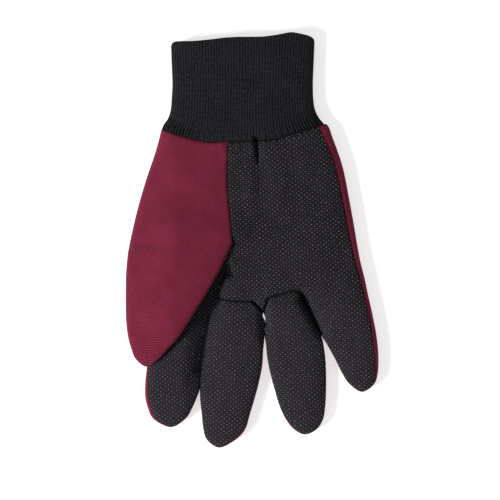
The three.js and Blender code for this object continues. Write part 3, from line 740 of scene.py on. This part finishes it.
def cloth_wall(name, grids, ribs=None):
    """A mesh with the outer face that the grids make together, and an inner face inside it."""
    together = lambda key: np.concatenate([g[key].reshape(g["level"].size, -1) for g in grids])
    points = together("points")
    cells = np.round(points * MERGED_PER_MM).astype(np.int64)
    _, first, where = np.unique(cells, axis=0, return_index=True, return_inverse=True)
    where = where.ravel()
    outer = points[first]
    count = len(outer)
    faces = []
    start = 0
    for g in grids:
        rows, cols = g["level"].shape
        ids = where[start : start + rows * cols].reshape(rows, cols)
        start += rows * cols
        a, b, c, d = ids[:-1, :-1], ids[1:, :-1], ids[1:, 1:], ids[:-1, 1:]
        faces.append(np.stack([a, b, c, d] if g["facing"] > 0 else [a, d, c, b], -1).reshape(-1, 4))
    faces = np.vstack(faces)
    normal = np.zeros((count, 3))
    np.add.at(normal, where, together("normal"))
    level, square, way = np.zeros(count, bool), np.zeros(count, bool), np.zeros((count, 2))
    in_outline = together("level").ravel()
    np.logical_or.at(level, where, in_outline)
    np.logical_or.at(square, where, together("square").ravel())
    np.add.at(way, where[in_outline], together("way")[in_outline])
    normal[level] = np.hstack([way[level], np.zeros((level.sum(), 1))])
    for spot, out in CROTCHES:
        normal[np.linalg.norm(outer[:, :2] - np.array(spot), axis=1) < 0.02] = (*out, 0)
    normal[square, 1] = 0
    normal /= np.maximum(np.linalg.norm(normal, axis=1), 1e-9)[:, None]
    inner = outer - normal * together("thickness")[first]
    clean = []
    for f in faces.tolist():
        kept = [i for k, i in enumerate(f) if i != f[k - 1]]
        if len(set(kept)) > 2:
            clean.append(kept)
    edges = {(f[k - 1], i) for f in clean for k, i in enumerate(f)}
    rim = [(b, a, a + count, b + count) for a, b in edges if (b, a) not in edges]
    mesh = bpy.data.meshes.new(name)
    inside = [[i + count for i in reversed(f)] for f in clean]
    mesh.from_pydata(np.vstack([outer, inner]) * MM, [], clean + inside + sorted(rim))
    mesh.polygons.foreach_set("use_smooth", [True] * len(mesh.polygons))
    mesh.set_sharp_from_angle(angle=math.radians(SHARP_FROM))
    flat = mesh.attributes.new("laid_flat", "FLOAT_VECTOR", "POINT")
    flat.data.foreach_set("vector", np.tile(together("flat")[first], (2, 1)).astype(np.float32).ravel())
    masks = [("painted_seam_shade", together("painted_seam_shade"))] + ([("rib", ribs.reshape(-1, 1))] if ribs is not None else [])
    for label, values in masks:
        layer = mesh.attributes.new(label, "FLOAT", "POINT")
        layer.data.foreach_set("value", np.tile(values[first, 0], 2).astype(np.float32))
    return new_object(name, mesh)


# Plan patches of the hand
def wrist_seam_part(x0, x1, sag):
    """The wrist's seam between two x, with its dip as a share of the palm side's."""
    (xa, ya), (xb, yb) = WRIST_SEAM[0], WRIST_SEAM[-1]

    def at(u):
        x = mix(x0, x1, np.asarray(u, float))
        chord = mix(ya, yb, (x - xa) / (xb - xa))
        return np.stack([x, mix(chord, np.interp(x, wrist_seam_line[:, 0], wrist_seam_line[:, 1]), sag)], -1)

    return at


def upper_patch(lane, sag):
    """One lane of the hand, from the wrist's seam to the kink."""
    l, r = UPPER_LINES[lane], UPPER_LINES[lane + 1]
    top = wrist_seam_part(l[0][0], r[0][0], sag)
    return patch_between(
        top, line_through([l[-1], r[-1]]),
        line_through([tuple(top(0.0))] + l[1:]), line_through([tuple(top(1.0))] + r[1:]),
    )


def lower_patch(lane):
    """One lane of the hand, from the kink to a finger's base."""
    l, r = LOWER_LINES[lane], LOWER_LINES[lane + 1]
    return patch_between(
        line_through([l[0], r[0]]), curve_through(FINGER_BASES[lane]), line_through(l), line_through(r)
    )


def finger_patch(lane):
    left, right = finger_sides[lane]
    return patch_between(curve_through(FINGER_BASES[lane]), to_point(left(1.0)), left, right)


thumb_patch = patch_between(line_through([CROTCH, KINK]), to_point(thumb_left(1.0)), thumb_left, thumb_right)


def part_of(patch, part):
    """A patch's part beside the back's strip on its right, or that strip."""

    def at(u, v):
        here = [patch(np.full_like(v, s), v) for s in (0.0, 1.0)]
        width = np.abs(here[1][..., 0] - here[0][..., 0])
        y = (here[0][..., 1] + here[1][..., 1]) / 2
        roll = table_at(RIGHT_ROLL, y) / width
        if part == "strip":
            return patch(mix(1 - roll, 1, u), v)
        return patch(u * (1 - roll - SEAM_TURN / width), v)

    return at


def sides(steps, left, right):
    """Which columns are outline: the first, the last or both."""
    mask = np.zeros(len(steps), bool)
    mask[0], mask[-1] = left, right
    return mask[None]


def unrolled(lane, side, vs):
    """Rows of a finger where its back isn't rolled over that side."""
    return table_at(ROLLS[lane][side], finger_sides[lane][side](vs)[:, 1]) < 1e-6


def make_back():
    """The whole back, its strips rolled onto the palm side, and the thumb's outer face."""
    grids = []
    for lane in range(4):
        under = {"height": underside, "level_height": seam_height, "us": us, "facing": -1}
        outer_sides = sides(us, lane == INDEX, lane == LITTLE)
        grids += [
            face_grid(
                upper_patch(lane, BACK_SEAM_SAG), vs=upper_vs, level=outer_sides, square_row=0, **under
            ),
            face_grid(lower_patch(lane), vs=lower_vs, level=outer_sides, **under),
            face_grid(finger_patch(lane), vs=finger_vs, level=sides(us, True, True), tip=True, **under),
        ]
        for side in (0, 1):
            level = sides(strip_us, not side, side) | unrolled(lane, side, finger_vs)[:, None]
            grids.append(
                face_grid(
                    finger_strip(lane, side), flat_palm, strip_us, finger_vs, level, seam_height,
                    edge=("left", "right")[side],
                )
            )
    left_side, right_side = sides(us, True, False), sides(strip_us, False, True)
    strip = {"height": flat_palm, "level_height": seam_height, "us": strip_us, "edge": "right"}
    grids += [
        face_grid(upper_patch(INDEX, 1), wing_top, us, upper_vs, left_side, seam_height, square_row=0),
        face_grid(thumb_patch, thumb_top, us, thumb_vs, sides(us, True, True), thumb_plane, tip=True),
        face_grid(
            part_of(upper_patch(LITTLE, 1), "strip"), vs=upper_vs, level=right_side, square_row=0, **strip
        ),
        face_grid(part_of(lower_patch(LITTLE), "strip"), vs=lower_vs, level=right_side, **strip),
    ]
    return cloth_wall("jersey_back", grids)


def front_seam_height(p):
    return seam_height(p) + SEAM_TURN


def front_grid(lane, height):
    level = np.zeros((len(finger_vs), len(palm_us)), bool)
    level[:, 0], level[:, -1] = unrolled(lane, 0, finger_vs), unrolled(lane, 1, finger_vs)
    return face_grid(finger_front(lane), height, palm_us, finger_vs, level, front_seam_height)


def palm_grids():
    """The palm with the index and little finger fronts."""
    grids = []
    for lane in range(4):
        patches = [(lower_patch(lane), lower_vs, None)]
        if lane != INDEX:
            patches.append((upper_patch(lane, 1), upper_vs, 0))
        for patch, vs, square in patches:
            patch = part_of(patch, "beside") if lane == LITTLE else patch
            level = sides(palm_us, lane == INDEX, False)
            grids.append(face_grid(patch, palm_top, palm_us, vs, level, front_seam_height, square_row=square))
    return grids + [front_grid(lane, palm_top) for lane in (INDEX, LITTLE)]


INNER_PEEK = np.array([0.5, -0.45])  # how far the thumb's inner face shows beyond its tip
INNER_DROP = 0.15  # its edge's height below the outer face's
INNER_START = 0.05  # it begins this share of the thumb's length below the kink


def thumb_inner_grid():
    vs = mix(INNER_START, 1, thumb_vs)
    seam = lambda p: thumb_plane(p) - INNER_DROP
    grid = face_grid(thumb_patch, thumb_under, us, vs, sides(us, True, True), seam, facing=-1, tip=True)
    grid["points"][..., :2] += INNER_PEEK * (vs**6)[:, None, None]
    return grid


# The ribbed wrist
RIBS = 54
RIB_STEPS = 6
RIB_DEPTH = 0.32
CORNER_RIB_DEPTH = 1.0  # more depth where the ribs fan out at the seam's ends
RIB_VALLEY_SHADE = (0.7, 1.7)  # how dark the shade painted between ribs is, and how dark where the ribs fan out
LIP = 1.1  # rounding of the folded mouth
LIP_SHARE = 0.9  # how much of that rounding is taken off each face
RIB_ROW = 0.45  # share of the wrist's depth at which the ribs are evenly spaced
RIB_ROUNDING = 0.7
FAN_FROM, FAN_OVER = 0.22, 0.25  # where the ribs fan out, from the wrist's middle towards its sides


def make_wrist():
    """The ribbed tube. Ribs are evenly spaced along the cloth, so they close up round its sides."""
    fine = np.linspace(0, 1, 800)
    steps = RIBS * RIB_STEPS + 1
    vs = wrist_vs
    from_mouth = vs * WRIST_DEPTH
    lip = LIP * (1 - np.sqrt(1 - (1 - np.clip(from_mouth / LIP, 0, 1)) ** 2))
    thickness = mix(RIB_KNIT, JERSEY, smooth((vs - 0.9) / 0.1)) - 2 * lip * LIP_SHARE
    grids, ribs = [], []
    for sag, height, facing in ((1, flat_palm, 1), (BACK_SEAM_SAG, underside, -1)):
        seam = wrist_seam_part(WRIST_SEAM[0][0], WRIST_SEAM[-1][0], sag)
        patch = patch_between(
            curve_through(MOUTH_EDGE), seam, lambda v: wrist_left(1 - v), lambda v: wrist_right(1 - v)
        )
        row = patch(fine, np.full_like(fine, RIB_ROW))
        run = np.concatenate([[0], np.cumsum(np.hypot(np.diff(row[:, 0]), np.diff(height(row))))])
        us_rib = np.interp(np.linspace(0, run[-1], steps), run, fine)
        us_rib[0], us_rib[-1] = 0, 1
        grid = face_grid(
            patch, height, us_rib, vs, sides(us_rib, True, True), seam_height,
            facing=facing, square_row=-1, thickness=thickness[:, None],
        )
        at = grid["points"]
        out = grid["normal"].copy()
        out[:, 0], out[:, -1] = (-1, 0, 0), (1, 0, 0)
        out /= np.maximum(np.linalg.norm(out, axis=-1, keepdims=True), 1e-9)
        ridge = np.abs(np.sin(np.pi * np.linspace(0, RIBS, steps))) ** RIB_ROUNDING
        ridge = np.repeat(ridge[None], len(vs), 0)
        sideways = smooth((np.abs(us_rib - 0.5) - FAN_FROM) / FAN_OVER)[None]
        near_end = sideways * smooth((vs - 0.8) / 0.14)[:, None]
        depth = RIB_DEPTH + CORNER_RIB_DEPTH * near_end
        grid["points"] = at + out * ((ridge - 1) * depth - lip[:, None] * LIP_SHARE)[..., None]
        grid["points"][:, 0, 2] = grid["points"][:, -1, 2] = SEAM_HEIGHT
        grids.append(grid)
        # the rib's height, with painted shade in the valleys between ribs, darker where they fan out
        ribs.append((1 - (1 - ridge) * mix(RIB_VALLEY_SHADE[0], RIB_VALLEY_SHADE[1], near_end)).ravel())
    return cloth_wall("rib_knit_wrist", grids, np.concatenate(ribs))


# Shader nodes
def linear(*srgb):
    """A colour on the shader's scale, from screen values of 0 to 255."""
    return tuple(((c / 255 + 0.055) / 1.055) ** 2.4 if c > 10 else c / 255 / 12.92 for c in srgb) + (1.0,)


class Nodes:
    """Adds nodes to a tree. An input takes a value or another node's output."""

    def __init__(self, tree):
        self.tree = tree

    def link(self, value, socket):
        self.tree.links.new(value, socket)

    def add(self, kind, inputs=(), **settings):
        node = self.tree.nodes.new(kind)
        for key, value in settings.items():
            setattr(node, key, value)
        for key, value in dict(inputs).items():
            socket = node.inputs[key]
            if isinstance(value, bpy.types.NodeSocket):
                self.link(value, socket)
            else:
                socket.default_value = value
        return node

    def math(self, operation, *values, clamp=False):
        return self.add("ShaderNodeMath", enumerate(values), operation=operation, use_clamp=clamp).outputs[0]

    def noise(self, where, scale, detail=2.0, roughness=0.5):
        inputs = {"Vector": where, "Scale": scale, "Detail": detail, "Roughness": roughness}
        return self.add("ShaderNodeTexNoise", inputs).outputs[0]

    def blend(self, share, a, b):
        """A mix of two colours. A Mix node's colour sockets are its inputs 6 and 7 and its output 2."""
        return self.add("ShaderNodeMix", {0: share, 6: a, 7: b}, data_type="RGBA").outputs[2]

    def remap(self, value, lo, hi, to_lo=0.0, to_hi=1.0):
        inputs = {"Value": value, "From Min": lo, "From Max": hi, "To Min": to_lo, "To Max": to_hi}
        return self.add("ShaderNodeMapRange", inputs).outputs[0]


def new_group(name, kind, inputs, outputs):
    """An empty node group. Inputs and outputs are (name, socket type, value)."""
    tree = bpy.data.node_groups.new(name, kind)
    for way, sockets in (("INPUT", inputs), ("OUTPUT", outputs)):
        for label, socket_type, *value in sockets:
            socket = tree.interface.new_socket(label, in_out=way, socket_type=socket_type)
            if value:
                socket.default_value = value[0]
    return tree, tree.nodes.new("NodeGroupInput"), tree.nodes.new("NodeGroupOutput")


FLOAT, VECTOR = "NodeSocketFloat", "NodeSocketVector"
TURN = 2 * math.pi


def knit_courses_group():
    """Slanting courses of a jersey face with its stitches, on cloth laid flat in mm."""
    tree, given, out = new_group(
        "knit_courses",
        "ShaderNodeTree",
        [
            ("Laid Flat", VECTOR),
            ("Course Pitch", FLOAT, 1.4),
            ("Stitch Pitch", FLOAT, 1.1),
            ("Slant at Wrist", FLOAT, 0.36),
            ("Slant at Tips", FLOAT, 0.08),
            ("Wander", FLOAT, 0.9),
            ("Fuzz", FLOAT, 0.5),
            ("Contrast", FLOAT, 0.9),
            ("Lighter Fingers", FLOAT, 0.0),
        ],
        [("Height", FLOAT), ("Tone", FLOAT)],
    )
    n = Nodes(tree)
    i = given.outputs
    split = n.add("ShaderNodeSeparateXYZ", {0: i["Laid Flat"]}).outputs
    drift = n.math("MULTIPLY", n.math("SUBTRACT", n.noise(i["Laid Flat"], 0.10), 0.5), i["Wander"])
    slant = n.remap(split[1], -60.0, 45.0, i["Slant at Tips"], i["Slant at Wrist"])
    level = n.math("SUBTRACT", split[1], n.math("MULTIPLY", split[0], slant))
    level = n.math("ADD", level, n.math("MULTIPLY", drift, 2.0))
    courses = n.math("DIVIDE", level, i["Course Pitch"])
    course = n.math("SINE", n.math("MULTIPLY", courses, TURN))
    offset = n.math("MULTIPLY", n.math("FLOOR", courses), 0.5)
    stitches = n.math("ADD", n.math("DIVIDE", n.math("ADD", split[0], drift), i["Stitch Pitch"]), offset)
    stitch = n.math("SINE", n.math("MULTIPLY", stitches, TURN))
    fuzz = n.math("MULTIPLY", n.math("SUBTRACT", n.noise(i["Laid Flat"], 1.3, 3.0, 0.7), 0.5), i["Fuzz"])
    patches = n.math("SUBTRACT", n.noise(i["Laid Flat"], 0.05, 3.0), 0.5)
    raised = n.math("ADD", n.math("MULTIPLY", course, 0.5), n.math("MULTIPLY", stitch, 0.22))
    n.link(n.math("ADD", raised, n.math("MULTIPLY", fuzz, 1.6)), out.inputs["Height"])
    tone = n.math("ADD", n.math("MULTIPLY", raised, i["Contrast"]), n.math("MULTIPLY", fuzz, 1.5))
    tone = n.math("ADD", tone, n.math("MULTIPLY", patches, 0.5))
    tone = n.math("ADD", tone, n.remap(split[1], -20.0, -60.0, 0.0, i["Lighter Fingers"]))
    n.link(n.math("ADD", tone, 0.5, clamp=True), out.inputs["Tone"])
    return tree


def rib_stitches_group():
    """Small slanted stitches up each rib, on cloth laid flat in mm, with the rib's own height, which also
    paints shade in the valleys between ribs.
    """
    tree, given, out = new_group(
        "rib_stitches",
        "ShaderNodeTree",
        [("Laid Flat", VECTOR), ("Rib", FLOAT), ("Stitch Pitch", FLOAT, 1.0), ("Fuzz", FLOAT, 0.5)],
        [("Height", FLOAT), ("Tone", FLOAT)],
    )
    n = Nodes(tree)
    i = given.outputs
    split = n.add("ShaderNodeSeparateXYZ", {0: i["Laid Flat"]}).outputs
    rise = n.math("ADD", n.math("DIVIDE", split[1], i["Stitch Pitch"]), n.math("MULTIPLY", i["Rib"], 0.45))
    stitch = n.math("SINE", n.math("MULTIPLY", rise, TURN))
    fuzz = n.math("MULTIPLY", n.math("SUBTRACT", n.noise(i["Laid Flat"], 0.6, 3.0, 0.75), 0.5), i["Fuzz"])
    patches = n.math("SUBTRACT", n.noise(i["Laid Flat"], 0.09, 2.0), 0.5)
    n.link(n.math("ADD", n.math("MULTIPLY", stitch, 0.4), fuzz), out.inputs["Height"])
    tone = n.math("ADD", n.math("MULTIPLY", stitch, 0.3), n.math("MULTIPLY", fuzz, 3.2))
    tone = n.math("ADD", tone, n.math("MULTIPLY", patches, 0.35))
    # painted shade: the valleys between ribs are darker than the ridges
    tone = n.math("ADD", tone, n.math("MULTIPLY", i["Rib"], 0.7))
    n.link(n.math("ADD", tone, 0.0, clamp=True), out.inputs["Tone"])
    return tree


def new_material(name, base, roughness, sheen=0.0, specular=0.25):
    m = bpy.data.materials.new(name)
    m.use_nodes = True
    shader = m.node_tree.nodes["Principled BSDF"]
    shader.inputs["Base Color"].default_value = base
    shader.inputs["Roughness"].default_value = roughness
    shader.inputs["Specular IOR Level"].default_value = specular
    shader.inputs["Sheen Weight"].default_value = sheen
    shader.inputs["Sheen Roughness"].default_value = 0.5
    return m, shader


KNIT_RELIEF = 0.25 * MM  # height of the stitches
# how far a seam's painted shade goes towards the cloth's shade colour
PAINTED_SHADE_STRENGTH = 0.8


def cloth_material(name, group, dark, light, seam_shade_colour, values, bump, extra=(), sheen=0.0):
    """Cloth whose tone and bump come from a knit group, with shade painted inside its seams."""
    m, shader = new_material(name, light, 0.93, sheen, 0.15)
    n = Nodes(m.node_tree)
    flat = n.add("ShaderNodeAttribute", attribute_name="laid_flat").outputs["Vector"]
    knit = n.add("ShaderNodeGroup", node_tree=group)
    n.link(flat, knit.inputs["Laid Flat"])
    for key, value in values.items():
        knit.inputs[key].default_value = value
    for key, label in extra:
        n.link(n.add("ShaderNodeAttribute", attribute_name=label).outputs["Fac"], knit.inputs[key])
    painted_seam_shade = n.add("ShaderNodeAttribute", attribute_name="painted_seam_shade").outputs["Fac"]
    cloth = n.blend(knit.outputs["Tone"], dark, light)
    # painted shade: the cloth turns towards its shade colour inside the seams
    colour = n.blend(n.math("MULTIPLY", painted_seam_shade, PAINTED_SHADE_STRENGTH), cloth, seam_shade_colour)
    n.link(colour, shader.inputs["Base Color"])
    bumped = n.add(
        "ShaderNodeBump", {"Strength": bump, "Distance": KNIT_RELIEF, "Height": knit.outputs["Height"]}
    )
    n.link(bumped.outputs[0], shader.inputs["Normal"])
    return m


# Each cloth's third colour is the shade painted inside its seams.
courses = knit_courses_group()
burgundy = cloth_material(
    "burgundy_jersey", courses, linear(84, 9, 30), linear(138, 45, 72), linear(18, 3, 8),
    {
        "Course Pitch": 1.42, "Stitch Pitch": 1.15, "Contrast": 0.55, "Fuzz": 0.6,
        "Slant at Wrist": 0.42, "Slant at Tips": 0.12,
    },
    0.6, sheen=0.03,
)
black = cloth_material(
    "dotted_jersey", courses, linear(9, 8, 11), linear(46, 43, 48), linear(5, 5, 6),
    {
        "Course Pitch": 1.28, "Stitch Pitch": 1.1, "Slant at Wrist": 0.1, "Slant at Tips": 0.05,
        "Contrast": 0.45, "Fuzz": 0.8, "Lighter Fingers": 0.22,
    },
    0.6,
)
# its dark colour is the shade painted in the valleys between ribs
rib = cloth_material(
    "rib_knit", rib_stitches_group(), linear(13, 13, 16), linear(40, 39, 43), linear(8, 8, 9),
    {"Stitch Pitch": 1.45, "Fuzz": 0.9}, 0.7, extra=[("Rib", "rib")],
)
dot_plastic, dot_shader = new_material("dot_plastic", linear(100, 97, 102), 0.5, 0.0, 0.35)
dot_nodes = Nodes(dot_plastic.node_tree)
speckle = dot_nodes.noise(dot_nodes.add("ShaderNodeTexCoord").outputs["Object"], 620.0, 1.0)
dot_tone = dot_nodes.blend(dot_nodes.remap(speckle, 0.3, 0.7), linear(72, 70, 75), linear(122, 119, 125))
dot_nodes.link(dot_tone, dot_shader.inputs["Base Color"])


# Dots: rows of small domes laid on the dotted cloth
DOT_PITCH, DOT_ROWS = 3.3, 1.28  # between two dots of a row, and between two rows
DOT_RADIUS, DOT_HEIGHT = 0.34, 0.22
DOT_BARE = 0.2  # no dots where a seam's line is deeper than this
DOT_STRAY = 0.09  # how far a dot lies off its place
DOT_SINK = 0.02  # how deep it sits in the cloth


def dots_tree():
    """Domes on the points of a mesh, each turned to the point's own outward way."""
    tree, given, out = new_group(
        "lay_dots",
        "GeometryNodeTree",
        [
            ("Geometry", "NodeSocketGeometry"),
            ("Radius", FLOAT, DOT_RADIUS * MM),
            ("Height", FLOAT, DOT_HEIGHT * MM),
            ("Size Spread", FLOAT, 0.22),
            ("Seed", "NodeSocketInt", 3),
            ("Material", "NodeSocketMaterial"),
        ],
        [("Geometry", "NodeSocketGeometry")],
    )
    n = Nodes(tree)
    i = given.outputs
    cone = n.add(
        "GeometryNodeMeshCone",
        {"Vertices": 7, "Side Segments": 2, "Radius Top": 0.0, "Radius Bottom": 1.0, "Depth": 1.0},
        fill_type="NONE",
    )
    at = n.add("ShaderNodeSeparateXYZ", {0: n.add("GeometryNodeInputPosition").outputs[0]}).outputs
    square = n.math("ADD", n.math("MULTIPLY", at[0], at[0]), n.math("MULTIPLY", at[1], at[1]))
    rise = n.math("SQRT", n.math("MAXIMUM", n.math("SUBTRACT", 1.0, square), 0.0))
    domed = n.add("ShaderNodeCombineXYZ", {0: at[0], 1: at[1], 2: rise})
    dome = n.add("GeometryNodeSetPosition", {"Geometry": cone.outputs["Mesh"], "Position": domed.outputs[0]})
    size = n.add("ShaderNodeCombineXYZ", {0: i["Radius"], 1: i["Radius"], 2: i["Height"]})
    sized = n.add("GeometryNodeTransform", {"Geometry": dome.outputs[0], "Scale": size.outputs[0]})
    way = n.add("GeometryNodeInputNamedAttribute", {"Name": "outward"}, data_type="FLOAT_VECTOR")
    turned = n.add("FunctionNodeAlignRotationToVector", {"Vector": way.outputs[0]}, axis="Z")
    spread = n.add("FunctionNodeRandomValue", {"Seed": i["Seed"]}, data_type="FLOAT")
    least, most = [s for s in spread.inputs if s.enabled and s.name in ("Min", "Max")]
    n.link(n.math("SUBTRACT", 1.0, i["Size Spread"]), least)
    n.link(n.math("ADD", 1.0, i["Size Spread"]), most)
    sizes = next(s for s in spread.outputs if s.enabled)
    placing = {"Points": i["Geometry"], "Instance": sized.outputs[0]}
    turning = {"Rotation": turned.outputs[0], "Scale": sizes}
    laid = n.add("GeometryNodeInstanceOnPoints", placing | turning)
    real = n.add("GeometryNodeRealizeInstances", {"Geometry": laid.outputs[0]})
    smooth_dots = n.add("GeometryNodeSetShadeSmooth", {"Geometry": real.outputs[0]})
    done = n.add("GeometryNodeSetMaterial", {"Geometry": smooth_dots.outputs[0], "Material": i["Material"]})
    n.link(done.outputs[0], out.inputs[0])
    return tree


def dot_places(grids, seed, tilt):
    """Where a diamond lattice on the cloth laid flat meets the faces of a piece's grids."""
    rng = np.random.default_rng(seed)
    turn = np.array([[math.cos(tilt), math.sin(tilt)], [-math.sin(tilt), math.cos(tilt)]])
    spots, ways = [], []
    for g in grids:
        flat = g["flat"][..., :2] @ turn.T
        lattice = np.stack(
            [flat[..., 0] / DOT_PITCH - flat[..., 1] / (2 * DOT_ROWS), flat[..., 1] / DOT_ROWS], -1
        )
        bare = np.maximum(g["painted_seam_shade"], g["level"])[..., None]
        data = np.concatenate([lattice, g["points"], bare], -1)
        a, b, c, d = data[:-1, :-1], data[1:, :-1], data[1:, 1:], data[:-1, 1:]
        halves = [np.stack(corners, -2).reshape(-1, 3, 6) for corners in ([a, b, c], [a, c, d])]
        faces = np.concatenate(halves)
        corner = faces[..., :2]
        low, high = np.ceil(corner.min(1)), corner.max(1)
        e1, e2 = corner[:, 1] - corner[:, 0], corner[:, 2] - corner[:, 0]
        size = e1[:, 0] * e2[:, 1] - e1[:, 1] * e2[:, 0]
        for step in ((0, 0), (1, 0), (0, 1), (1, 1)):
            wanted = low + step
            off = wanted - corner[:, 0]
            ok = (wanted <= high).all(1) & (np.abs(size) > 1e-9)
            s = np.where(ok, (off[:, 0] * e2[:, 1] - off[:, 1] * e2[:, 0]) / np.where(ok, size, 1), -1)
            t = np.where(ok, (e1[:, 0] * off[:, 1] - e1[:, 1] * off[:, 0]) / np.where(ok, size, 1), -1)
            ok &= (s >= 0) & (t >= 0) & (s + t < 1)
            share = np.stack([1 - s - t, s, t], -1)[ok]
            here = (faces[ok] * share[..., None]).sum(1)
            side = np.cross(faces[ok, 1, 2:5] - faces[ok, 0, 2:5], faces[ok, 2, 2:5] - faces[ok, 0, 2:5])
            length = np.linalg.norm(side, axis=1)
            shown = (here[:, 5] < DOT_BARE) & (length > 1e-9)
            spots.append(here[shown, 2:5])
            ways.append(side[shown] / length[shown][:, None] * g["facing"])
    spots, ways = np.vstack(spots), np.vstack(ways)
    spots[:, :2] += rng.normal(0, DOT_STRAY, (len(spots), 2))
    return spots - ways * DOT_SINK, ways


def lay_dots(name, grids, seed, tilt):
    """The dots of one piece as a plain mesh. tilt turns their rows, in radians."""
    points, out = dot_places(grids, seed, tilt)
    mesh = bpy.data.meshes.new(name)
    mesh.from_pydata(points * MM, [], [])
    layer = mesh.attributes.new("outward", "FLOAT_VECTOR", "POINT")
    layer.data.foreach_set("vector", out.astype(np.float32).ravel())
    carrier = new_object(name + "_places", mesh)
    laid = carrier.modifiers.new("dots", "NODES")
    laid.node_group = dot_domes
    for item in dot_domes.interface.items_tree:
        if item.item_type == "SOCKET" and item.in_out == "INPUT" and item.name in ("Seed", "Material"):
            laid[item.identifier] = seed if item.name == "Seed" else dot_plastic
    made = carrier.evaluated_get(bpy.context.evaluated_depsgraph_get())
    dots = new_object(name, bpy.data.meshes.new_from_object(made))
    bpy.data.objects.remove(carrier)
    return dots


dot_domes = dots_tree()

# Pieces
palm = palm_grids()
middle, ring = [front_grid(MIDDLE, front_top)], [front_grid(RING, front_top)]
thumb_inner = [thumb_inner_grid()]
pieces = [
    (make_wrist(), "knit_wrist", "rib_knit", rib),
    (make_back(), "back_with_wing_thumb", "burgundy_jersey", burgundy),
    (cloth_wall("dotted_palm_cloth", palm), "dotted_palm", "dotted_jersey", black),
    (cloth_wall("middle_finger_cloth", middle), "middle_finger_front", "dotted_jersey", black),
    (cloth_wall("ring_finger_cloth", ring), "ring_finger_front", "dotted_jersey", black),
    (cloth_wall("thumb_inner_cloth", thumb_inner), "thumb_inner_face", "dotted_jersey", black),
]
for obj, node, slot, material in pieces:
    obj.data.materials.append(material)
    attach(obj, "root")
    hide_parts(node)

for obj in (
    lay_dots("palm_dots", palm, 21, 0.06),
    lay_dots("middle_finger_dots", middle, 22, -0.05),
    lay_dots("ring_finger_dots", ring, 23, 0.07),
    lay_dots("thumb_inner_dots", thumb_inner, 24, 0.3),
):
    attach(obj, "root")

# The setting: floor, light and camera
FLOOR_GLOW = 0.6  # the floor is a lit table, so the shadows on it stay pale
FLOOR_REACH = 40.0
FLOOR_DROP = 0.3 * MM  # how far the floor lies below the glove
AMBIENT = 0.32
bpy.context.scene.view_settings.view_transform = "Standard"
floor_mesh = bpy.data.meshes.new("floor")
corners = [(x * FLOOR_REACH, y * FLOOR_REACH, -FLOOR_DROP) for x, y in ((-1, -1), (1, -1), (1, 1), (-1, 1))]
floor_mesh.from_pydata(corners, [], [(0, 1, 2, 3)])
floor = new_object("floor", floor_mesh)
floor_material, floor_shader = new_material("pale_floor", (0.9, 0.9, 0.9, 1), 0.9)
floor_shader.inputs["Emission Color"].default_value = (1, 1, 1, 1)
floor_shader.inputs["Emission Strength"].default_value = FLOOR_GLOW
floor.data.materials.append(floor_material)

world = bpy.data.worlds.new("studio")
world.use_nodes = True
world.node_tree.nodes["Background"].inputs["Color"].default_value = (1, 1, 1, 1)
world.node_tree.nodes["Background"].inputs["Strength"].default_value = AMBIENT
bpy.context.scene.world = world

light_data = bpy.data.lights.new("key", "AREA")
light_data.shape = "SQUARE"
light_data.size = 0.4
light_data.energy = 27
light = new_object("key", light_data)
light.location = (-1.15, -0.5, 1.0)
light.rotation_mode = "QUATERNION"
light.rotation_quaternion = (-light.location).to_track_quat("-Z", "Y")

# The camera looks straight down at the middle of the view, and sees a square of this width
VIEW_X, VIEW_Y, VIEW_Z = -1.5 * MM, -5.8 * MM, 7 * MM
FRAME_WIDTH = 305.0 * MM
LENS, SENSOR = 100.0, 36.0
camera_data = bpy.data.cameras.new("camera")
camera_data.lens = LENS
camera_data.sensor_width = SENSOR
camera = new_object("camera", camera_data)
camera.location = (VIEW_X, VIEW_Y, VIEW_Z + FRAME_WIDTH * LENS / SENSOR)
bpy.context.scene.camera = camera
